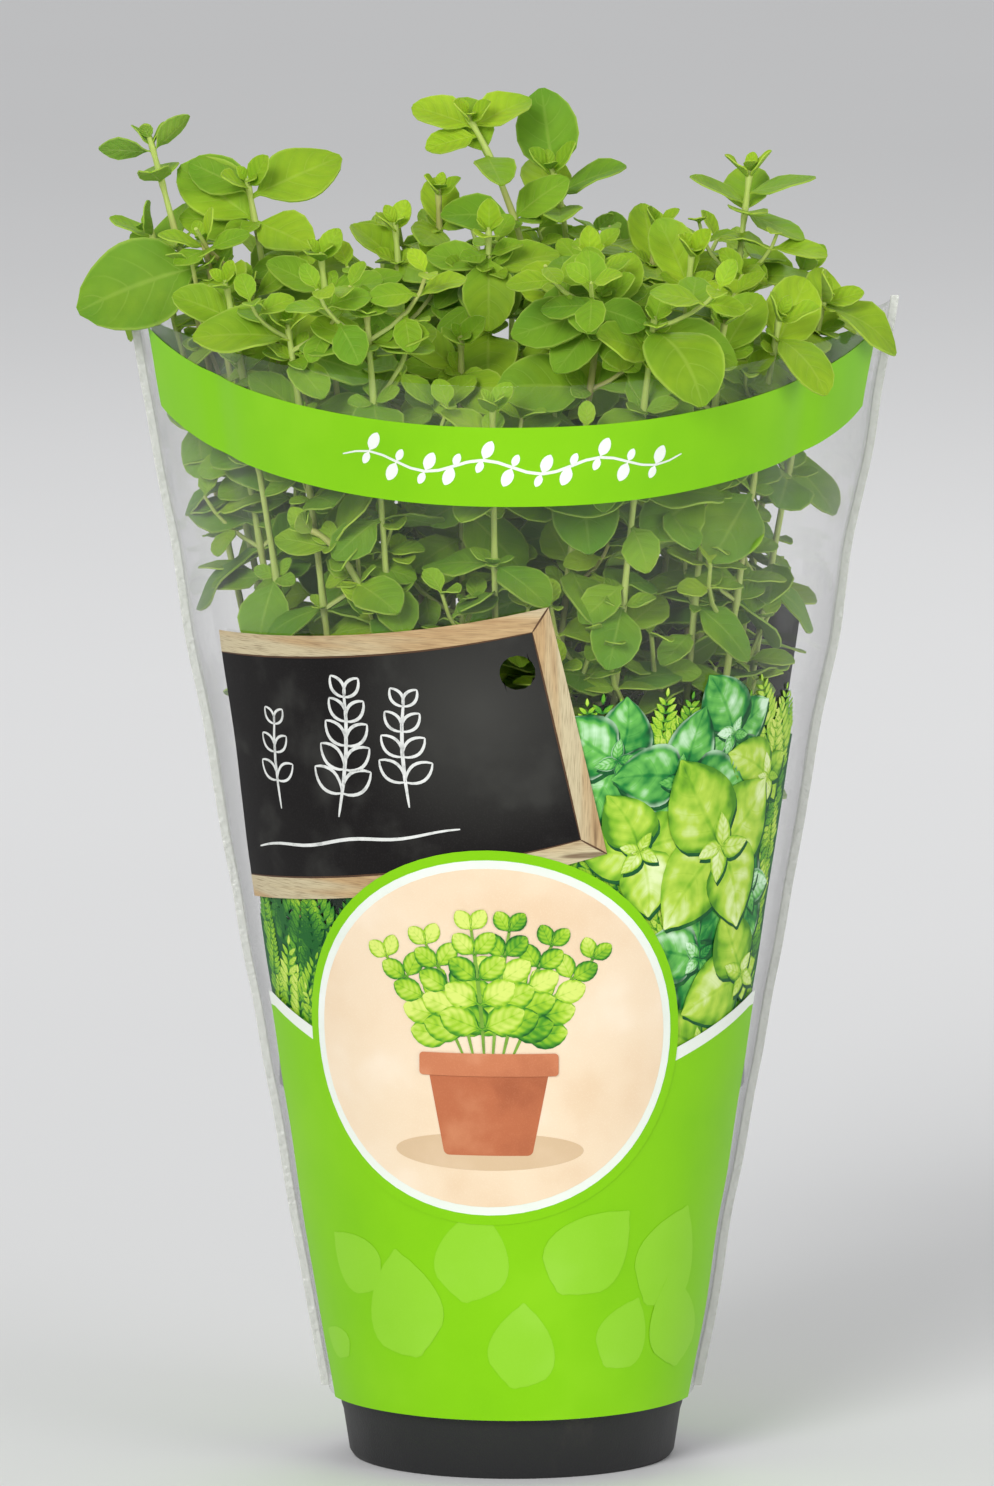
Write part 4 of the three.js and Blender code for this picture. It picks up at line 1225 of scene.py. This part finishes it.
def grow_leaf(piece, stance, age, dice, outline=None, twist=0):
    """A thin leaf with its own cup, wave and curl. age is 0 for the youngest and 1 for the oldest.

    twist is how far its stalk turns the blade, in degrees.
    """
    mesh = piece.mesh
    columns = 2 if outline else 4
    outline = outline or LEAF_OUTLINE
    if stance.length > FINE_LEAF:
        outline = finer(outline)
    grid = leaf_grid(mesh, outline, columns)
    width = LEAF_WIDTH * stance.length * (0.98 + 0.1 * age + dice.uniform(-0.05, 0.07))
    fold = dice.uniform(0.05, 0.32) * (1.1 - age)
    droop = dice.uniform(0.05, 0.36) * age
    wave = dice.uniform(0.03, 0.09) * width
    curl = dice.uniform(-12, 12)
    phases = [dice.uniform(0, 6.3) for _ in range(2)]
    tone = age + dice.uniform(-0.2, 0.2)
    for vert, (share, side, half) in grid.items():
        half *= width / 2
        edge = abs(side)
        raised = half * (fold * edge - droop * edge ** 2)
        raised += wave * edge ** 2 * math.sin(7 * share + phases[side > 0]) * math.sin(math.pi * share)
        raised -= 0.05 * half * (1 - edge) * 2
        vert[piece.tone] = tone + 0.12 * share
        turn = math.radians(curl * share + twist * smoothstep(share, 0, 0.3))
        vert.co = stance.point(share, side * half, raised, turn)
    faces = faces_of(grid)
    piece.dress(faces, TOP, leaf_shares(grid), lambda vert: vert[piece.tone])
    normal = sum((face.normal * face.calc_area() for face in renewed(faces)), Vector())
    if normal.dot(stance.point(0.5, 0, 1) - stance.point(0.5, 0, 0)) < 0:
        bmesh.ops.reverse_faces(mesh, faces=faces)
    thickness = 0.22 + 0.012 * stance.length
    skin = bmesh.ops.solidify(mesh, geom=faces, thickness=thickness)["geom"]
    under = [face for face in skin if isinstance(face, bmesh.types.BMFace) and face not in faces]
    for face in under:
        face.material_index = UNDER


def renewed(faces):
    for face in faces:
        face.normal_update()
    return faces


# ---- Stems ----

class Curve:
    """A bend through three corners, with places given as shares of its length."""

    def __init__(self, start, middle, end):
        self.corners = start, middle, end
        marks = [self.curve(step / 200) for step in range(201)]
        spans = [(there - here).length for here, there in zip(marks, marks[1:])]
        self.lengths = list(accumulate(spans, initial=0))
        self.length = self.lengths[-1]

    def curve(self, place):
        start, middle, end = self.corners
        return start * (1 - place) ** 2 + middle * 2 * place * (1 - place) + end * place ** 2

    def place(self, share):
        """The curve's own measure at a share of the length."""
        target = share * self.length
        index = min(max(bisect_right(self.lengths, target) - 1, 0), 199)
        part = (target - self.lengths[index]) / (self.lengths[index + 1] - self.lengths[index])
        return (index + part) / 200

    def point(self, share):
        return self.curve(self.place(share))

    def direction(self, share):
        place = self.place(share)
        ahead = self.curve(min(place + 0.0001, 1)) - self.curve(max(place - 0.0001, 0))
        return ahead.normalized()


class Stem(Curve):
    """The main stem of a shoot."""

    def __init__(self, shoot):
        x, y = shoot.base
        out, rise = STEM_BOW
        start = Vector((x, y, soil_height(x, y) - PLANTING_DEPTH))
        end = Vector(shoot.tip)
        middle = start + Vector(((end.x - x) * out, (end.y - y) * out, (end.z - start.z) * rise))
        super().__init__(start, Vector(shoot.bend or middle), end)
        self.steps = BENT_STEM_STEPS if shoot.bend else STEM_STEPS

    def chord_point(self, share):
        """A place on the straight steps between even points of the curve."""
        step = min(int(share * self.steps), self.steps - 1)
        start = self.point(step / self.steps)
        return start.lerp(self.point((step + 1) / self.steps), share * self.steps - step)


def vary(shoot, leaf):
    """A repeatable number from -0.5 to 0.5 for a shoot and one of its leaves."""
    wave = math.sin(shoot * 12.9898 + leaf * 78.233) * 43758.5453
    return wave - math.floor(wave) - 0.5


def pair_place(pair):
    return 1 - (0.01 + 0.02 * pair + 0.016 * pair ** 2)


def list_leaves(number, shoot):
    """The leaves of a shoot: those placed one by one, and then its pairs from the tip down."""
    leaves = list(SINGLE_LEAVES.get(number + 1, []))
    for pair in range(shoot.pairs):
        for half in range(2):
            leaf = 2 * pair + half
            heading = shoot.turn + 90 * pair + 180 * half + HEADING_SPREAD * vary(number, leaf)
            pitch = PAIR_PITCH[pair] + PITCH_SPREAD * vary(number + 100, leaf)
            length = shoot.leaf * PAIR_SIZE[pair] * (1 + LENGTH_SPREAD * vary(number + 50, leaf))
            roll = ROLL_SPREAD * vary(number + 150, leaf)
            place = pair_place(pair)
            leaves.append(Leaf(place, heading, pitch, PAIR_SWEEP[pair], length, roll, PAIR_AGE[pair]))
    return leaves


def crown_up(shoot, stem, along):
    """The direction that leaves spread round: the stem's own, nodding near the tip."""
    nod = max(0, 1 - 1.2 * (1 - along))
    lean = Vector((shoot.lean[0] * nod, shoot.lean[1] * nod, 1))
    return (stem.direction(along) + lean).normalized()


def settled_stance(shoot, stem, leaf, tips):
    """The stance in which the leaf has its tip in the frame, or None where it isn't there."""
    up = crown_up(shoot, stem, leaf.along)
    start = stem.chord_point(leaf.along)
    for turn, pitch, size in LEAF_SHIFTS:
        length = leaf.length * size
        stance = Stance(start, up, leaf.heading + turn, leaf.pitch + pitch, leaf.sweep, leaf.roll, length)
        if tips.find(stance.point(1, 0, 0))[2] < TIP_MATCH:
            return stance
    return None


def corner_tree(node):
    """A search tree of a frame node's corners, in millimetres."""
    corners = node.data.vertices
    tree = KDTree(len(corners))
    for index, corner in enumerate(corners):
        tree.insert(corner.co / MM, index)
    tree.balance()
    return tree


def grow_tube(piece, curve, places, radius, sides, tone):
    """A closed round stem along a curve. radius and tone are worked out from a share of its length."""
    mesh = piece.mesh
    rows = len(places) - 1
    ring = new_sheet(mesh, rows, sides)
    shares = {}
    for vert in ring:
        share = places[round((vert.co.x + 0.5) * rows)]
        turn = (vert.co.y + 0.5) * 2 * math.pi
        forward = curve.direction(share)
        side = forward.cross(Vector((0, 1, 0))).normalized()
        other = side.cross(forward)
        shares[vert] = (share, vert.co.y + 0.5)
        vert.co = curve.point(share) + (side * math.cos(turn) + other * math.sin(turn)) * radius(share)
    piece.dress(faces_of(ring), STEM, shares, lambda vert: tone(shares[vert][0]))
    bmesh.ops.remove_doubles(mesh, verts=ring, dist=0.001)
    ring = [vert for vert in ring if vert.is_valid]
    rims = [edge for vert in ring for edge in vert.link_edges if edge.is_boundary]
    bmesh.ops.holes_fill(mesh, edges=list(set(rims)), sides=sides)
    tube = faces_of(ring)
    bmesh.ops.recalc_face_normals(mesh, faces=tube)
    for face in tube:
        face.material_index = STEM


def grow_stem(piece, stem, pairs):
    """The main stem, which thins towards the tip and swells a little where leaves grow."""
    places = [step / 16 for step in range(17)]
    nodes = [pair_place(pair) for pair in range(pairs)]
    for node in nodes:
        places += [node - 0.012, node - 0.004, node + 0.003]

    def radius(share):
        swell = sum(math.exp(-((share - node) / 0.007) ** 2) for node in nodes)
        return STEM_RADIUS * (1.35 - 0.55 * share + 0.3 * min(swell, 1))

    places = sorted(place for place in places if 0 <= place <= 1)
    grow_tube(piece, stem, places, radius, 8, lambda share: share)


def has_room(place, margin):
    """Whether a place lies inside the sleeve and the crown."""
    if place.z > BRANCH_TOP:
        return False
    if not all(low < value < high for low, value, high in zip(CROWN_LOW, place, CROWN_HIGH)):
        return False
    if place.z > SLEEVE_CORNER_TOP:
        return True
    half = sleeve_half(place.z) - margin
    share = 1 - (place.x / half) ** 2
    free = smoothstep(place.z, LIP_LEVEL, SLEEVE_CORNER_TOP)
    return share > 0 and abs(place.y) < half * share ** ((1 + SLEEVE_FLATTEN * free) / 2)


def fits(stance):
    """Whether a small leaf has room."""
    wide = LEAF_WIDTH * stance.length / 2
    places = [stance.point(1, 0, 0), stance.point(0.6, wide, 0), stance.point(0.6, -wide, 0)]
    return all(has_room(place, 1.5) for place in places)


def grow_tuft(piece, start, up, turn, size, age, dice):
    """A pair of small leaves in a leaf's axil."""
    for side in (-1, 1):
        heading = turn + side * dice.uniform(35, 80)
        stance = Stance(start, up, heading, dice.uniform(25, 55), 30, 0, size * dice.uniform(0.8, 1.1))
        if fits(stance):
            grow_leaf(piece, stance, age, dice, SMALL_OUTLINE)


def grow_branch(piece, start, up, turn, reach, dice):
    """A side shoot that leaves an axil outwards and bends up, with up to three pairs of leaves."""
    level = pointing(turn).to_3d()
    end = start + (level * 0.6 + up * 0.8) * reach
    curve = Curve(start, start + (level * 0.5 + up * 0.3) * reach, end)
    leaves = []
    for leaf in range(6):
        pair = leaf // 2
        heading = turn + 90 * (pair + 1) + 180 * leaf + dice.uniform(-18, 18)
        pitch = 5 + 20 * pair + dice.uniform(-10, 10)
        length = (13.5, 12.5, 8.5)[pair] * dice.uniform(0.8, 1.2)
        place = curve.point(0.45 + 0.27 * pair)
        stance = Stance(place, up, heading, pitch, 35, dice.uniform(-18, 18), length)
        if fits(stance):
            leaves.append((stance, 0.5 - 0.2 * pair))
    if len(leaves) < 4 or not has_room(end, 5):
        return False

    def radius(share):
        return (0.5 + 0.008 * reach) * (1 - 0.3 * share)

    grow_tube(piece, curve, (0, 0.25, 0.5, 0.75, 1), radius, 6, lambda share: 0.6 + 0.4 * share)
    for stance, age in leaves:
        grow_leaf(piece, stance, age, dice, SMALL_OUTLINE)
    return True


def grow_low_leaves(piece, shoot, stem, dice):
    """Leaves in pairs low on the main stem, and at the front a long side shoot that leans to one side."""
    for along in LOW_PAIRS:
        up = crown_up(shoot, stem, along)
        turn = dice.uniform(0, 360)
        age = dice.uniform(0.15, 0.75)
        for heading in (turn, turn + 180):
            pitch, roll, length = dice.uniform(-10, 40), dice.uniform(-30, 30), dice.uniform(13, 22)
            stance = Stance(stem.point(along), up, heading, pitch, 35, roll, length)
            if fits(stance):
                grow_leaf(piece, stance, age, dice, SMALL_OUTLINE)
    if shoot.base[1] < FRONT_ROW:
        along = dice.uniform(0.44, 0.56)
        turn = dice.choice((-15, 195)) + dice.uniform(-20, 20)
        grow_branch(piece, stem.point(along), crown_up(shoot, stem, along), turn, dice.uniform(34, 48), dice)


def grow_axil(piece, shoot, stem, leaf, dice):
    """What grows between a leaf and the stem: a side shoot, or a pair of small leaves."""
    up = crown_up(shoot, stem, leaf.along)
    start = stem.point(leaf.along) + pointing(leaf.heading).to_3d() * 0.4
    turn = leaf.heading + dice.uniform(-30, 30)
    if leaf.age > 0.3 and dice.random() < 0.75:
        if grow_branch(piece, start, up, turn, dice.uniform(15, 32), dice):
            return
    grow_tuft(piece, start, up, turn, dice.uniform(5, 10), 0.2 + 0.2 * leaf.age, dice)


def grow_bud(piece, shoot, stem, dice):
    """The closed pair of leaves at a shoot's very tip."""
    up = crown_up(shoot, stem, 1)
    for leaf in range(2):
        heading = shoot.turn + 90 + 180 * leaf + dice.uniform(-12, 12)
        stance = Stance(stem.point(0.997), up, heading, 64, 25, 0, dice.uniform(4.5, 6))
        grow_leaf(piece, stance, 0, dice, SMALL_OUTLINE)


def make_shoot(number, shoot, paints, dice):
    piece = Piece(*paints)
    stem = Stem(shoot)
    node = f"marjoram_shoot_{number + 1:02d}"
    tips = corner_tree(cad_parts[node])
    grow_stem(piece, stem, shoot.pairs)
    grow_bud(piece, shoot, stem, dice)
    for leaf in list_leaves(number, shoot):
        stance = settled_stance(shoot, stem, leaf, tips)
        if stance:
            grow_leaf(piece, stance, leaf.age, dice, twist=leaf.twist)
        if leaf.age > 0.1:
            grow_axil(piece, shoot, stem, leaf, dice)
    grow_low_leaves(piece, shoot, stem, dice)
    if number + 1 == VENT_LEAF_SHOOT:
        leaf = VENT_LEAF
        place = leaf.heading, leaf.pitch, leaf.sweep, leaf.roll, leaf.length
        grow_leaf(piece, Stance(stem.point(leaf.along), Vector((0, 0, 1)), *place), 0.4, dice)
    return piece.finish(f"shoot_{number + 1:02d}", "marjoram_green", node, smooth_degrees=60)


# ---- Stage ----

def make_floor():
    paint = Paint("pale_floor")
    shade = paint.noise(paint.place(), 3, 2) * 0.02 + 0.78
    colour = paint.node("CombineColor", None, {0: shade, 1: shade, 2: shade})
    material = paint.coat(colour, 0.9)
    mesh = bmesh.new()
    new_sheet(mesh, 1, 1, FLOOR_REACH)
    data = bpy.data.meshes.new("floor")
    mesh.to_mesh(data)
    mesh.free()
    data.materials.append(material)
    floor = bpy.data.objects.new("floor", data)
    bpy.context.scene.collection.objects.link(floor)


def aim(shape, place, target):
    """Puts a light or the camera in the scene, turned to its target."""
    shape.location = place
    shape.rotation_euler = (Vector(target) - Vector(place)).to_track_quat("-Z", "Y").to_euler()
    bpy.context.scene.collection.objects.link(shape)


def make_studio():
    window = bpy.data.lights.new("window", "SUN")
    window.energy = WINDOW_STRENGTH
    window.angle = math.radians(22)
    aim(bpy.data.objects.new("window", window), WINDOW_PLACE, LIGHT_TARGET)
    for name, place, size, power in SOFT_LIGHTS:
        light = bpy.data.lights.new(name, "AREA")
        light.size = size
        light.energy = power
        aim(bpy.data.objects.new(name, light), place, LIGHT_TARGET)
    world = bpy.data.worlds.new("studio")
    world.use_nodes = True
    sky = world.node_tree.nodes["Background"]
    sky.inputs["Color"].default_value = tint(240, 241, 243)
    sky.inputs["Strength"].default_value = 0.5
    bpy.context.scene.world = world
    bpy.context.scene.view_settings.view_transform = "Standard"


def make_camera():
    data = bpy.data.cameras.new("camera")
    data.sensor_width = 36
    data.lens = CAMERA_LENS
    data.clip_end = 100
    camera = bpy.data.objects.new("camera", data)
    target = Vector(CAMERA_TARGET)
    rise = math.radians(CAMERA_ELEVATION)
    aim(camera, target + CAMERA_DISTANCE * Vector((0, -math.cos(rise), math.sin(rise))), target)
    bpy.context.scene.camera = camera


# ---- Assembly ----

make_camera()
make_studio()
make_floor()
make_pot()
make_soil(random.Random(3))

clear_film = film_paint()
make_film(-1, "sleeve_front", "sleeve_front_panel", clear_film)
make_film(1, "sleeve_back", "sleeve_back_panel", clear_film)

inks = [ink_paint(name, *row) for name, row in INKS.items()]
lime, pale_lime, white, chalk, slate, timber_shadow, deep_green, *picture_inks = inks
herb, basil, shaded = [leaf_ink_paint(name, *row) for name, row in LEAF_INKS.items()]
timber = wood_ink_paint()

for side, word in ((-1, "front"), (1, "back")):
    make_garland(side, f"garland_print_{word}", (deep_green, herb, basil, shaded), random.Random(11))
    make_ground(side, f"ground_print_{word}", (lime, white, pale_lime), random.Random(5))
    make_band(side, f"band_print_{word}", (lime, white))
    make_label(side, f"label_print_{word}", (slate, timber, chalk, timber_shadow))
    make_medallion(side, f"medallion_print_{word}", (lime, white, *picture_inks, herb))

top = leaf_paint("leaf_top", tint(164, 196, 42), tint(88, 132, 24), tint(190, 210, 100), 0.25, 0.5)
under = leaf_paint("leaf_underside", tint(166, 192, 78), tint(118, 152, 58), tint(186, 204, 120), 0.45, 0.6)
plant_paints = (top, under, stem_paint())
for number, shoot in enumerate(SHOOTS):
    make_shoot(number, shoot, plant_paints, random.Random(100 + number))
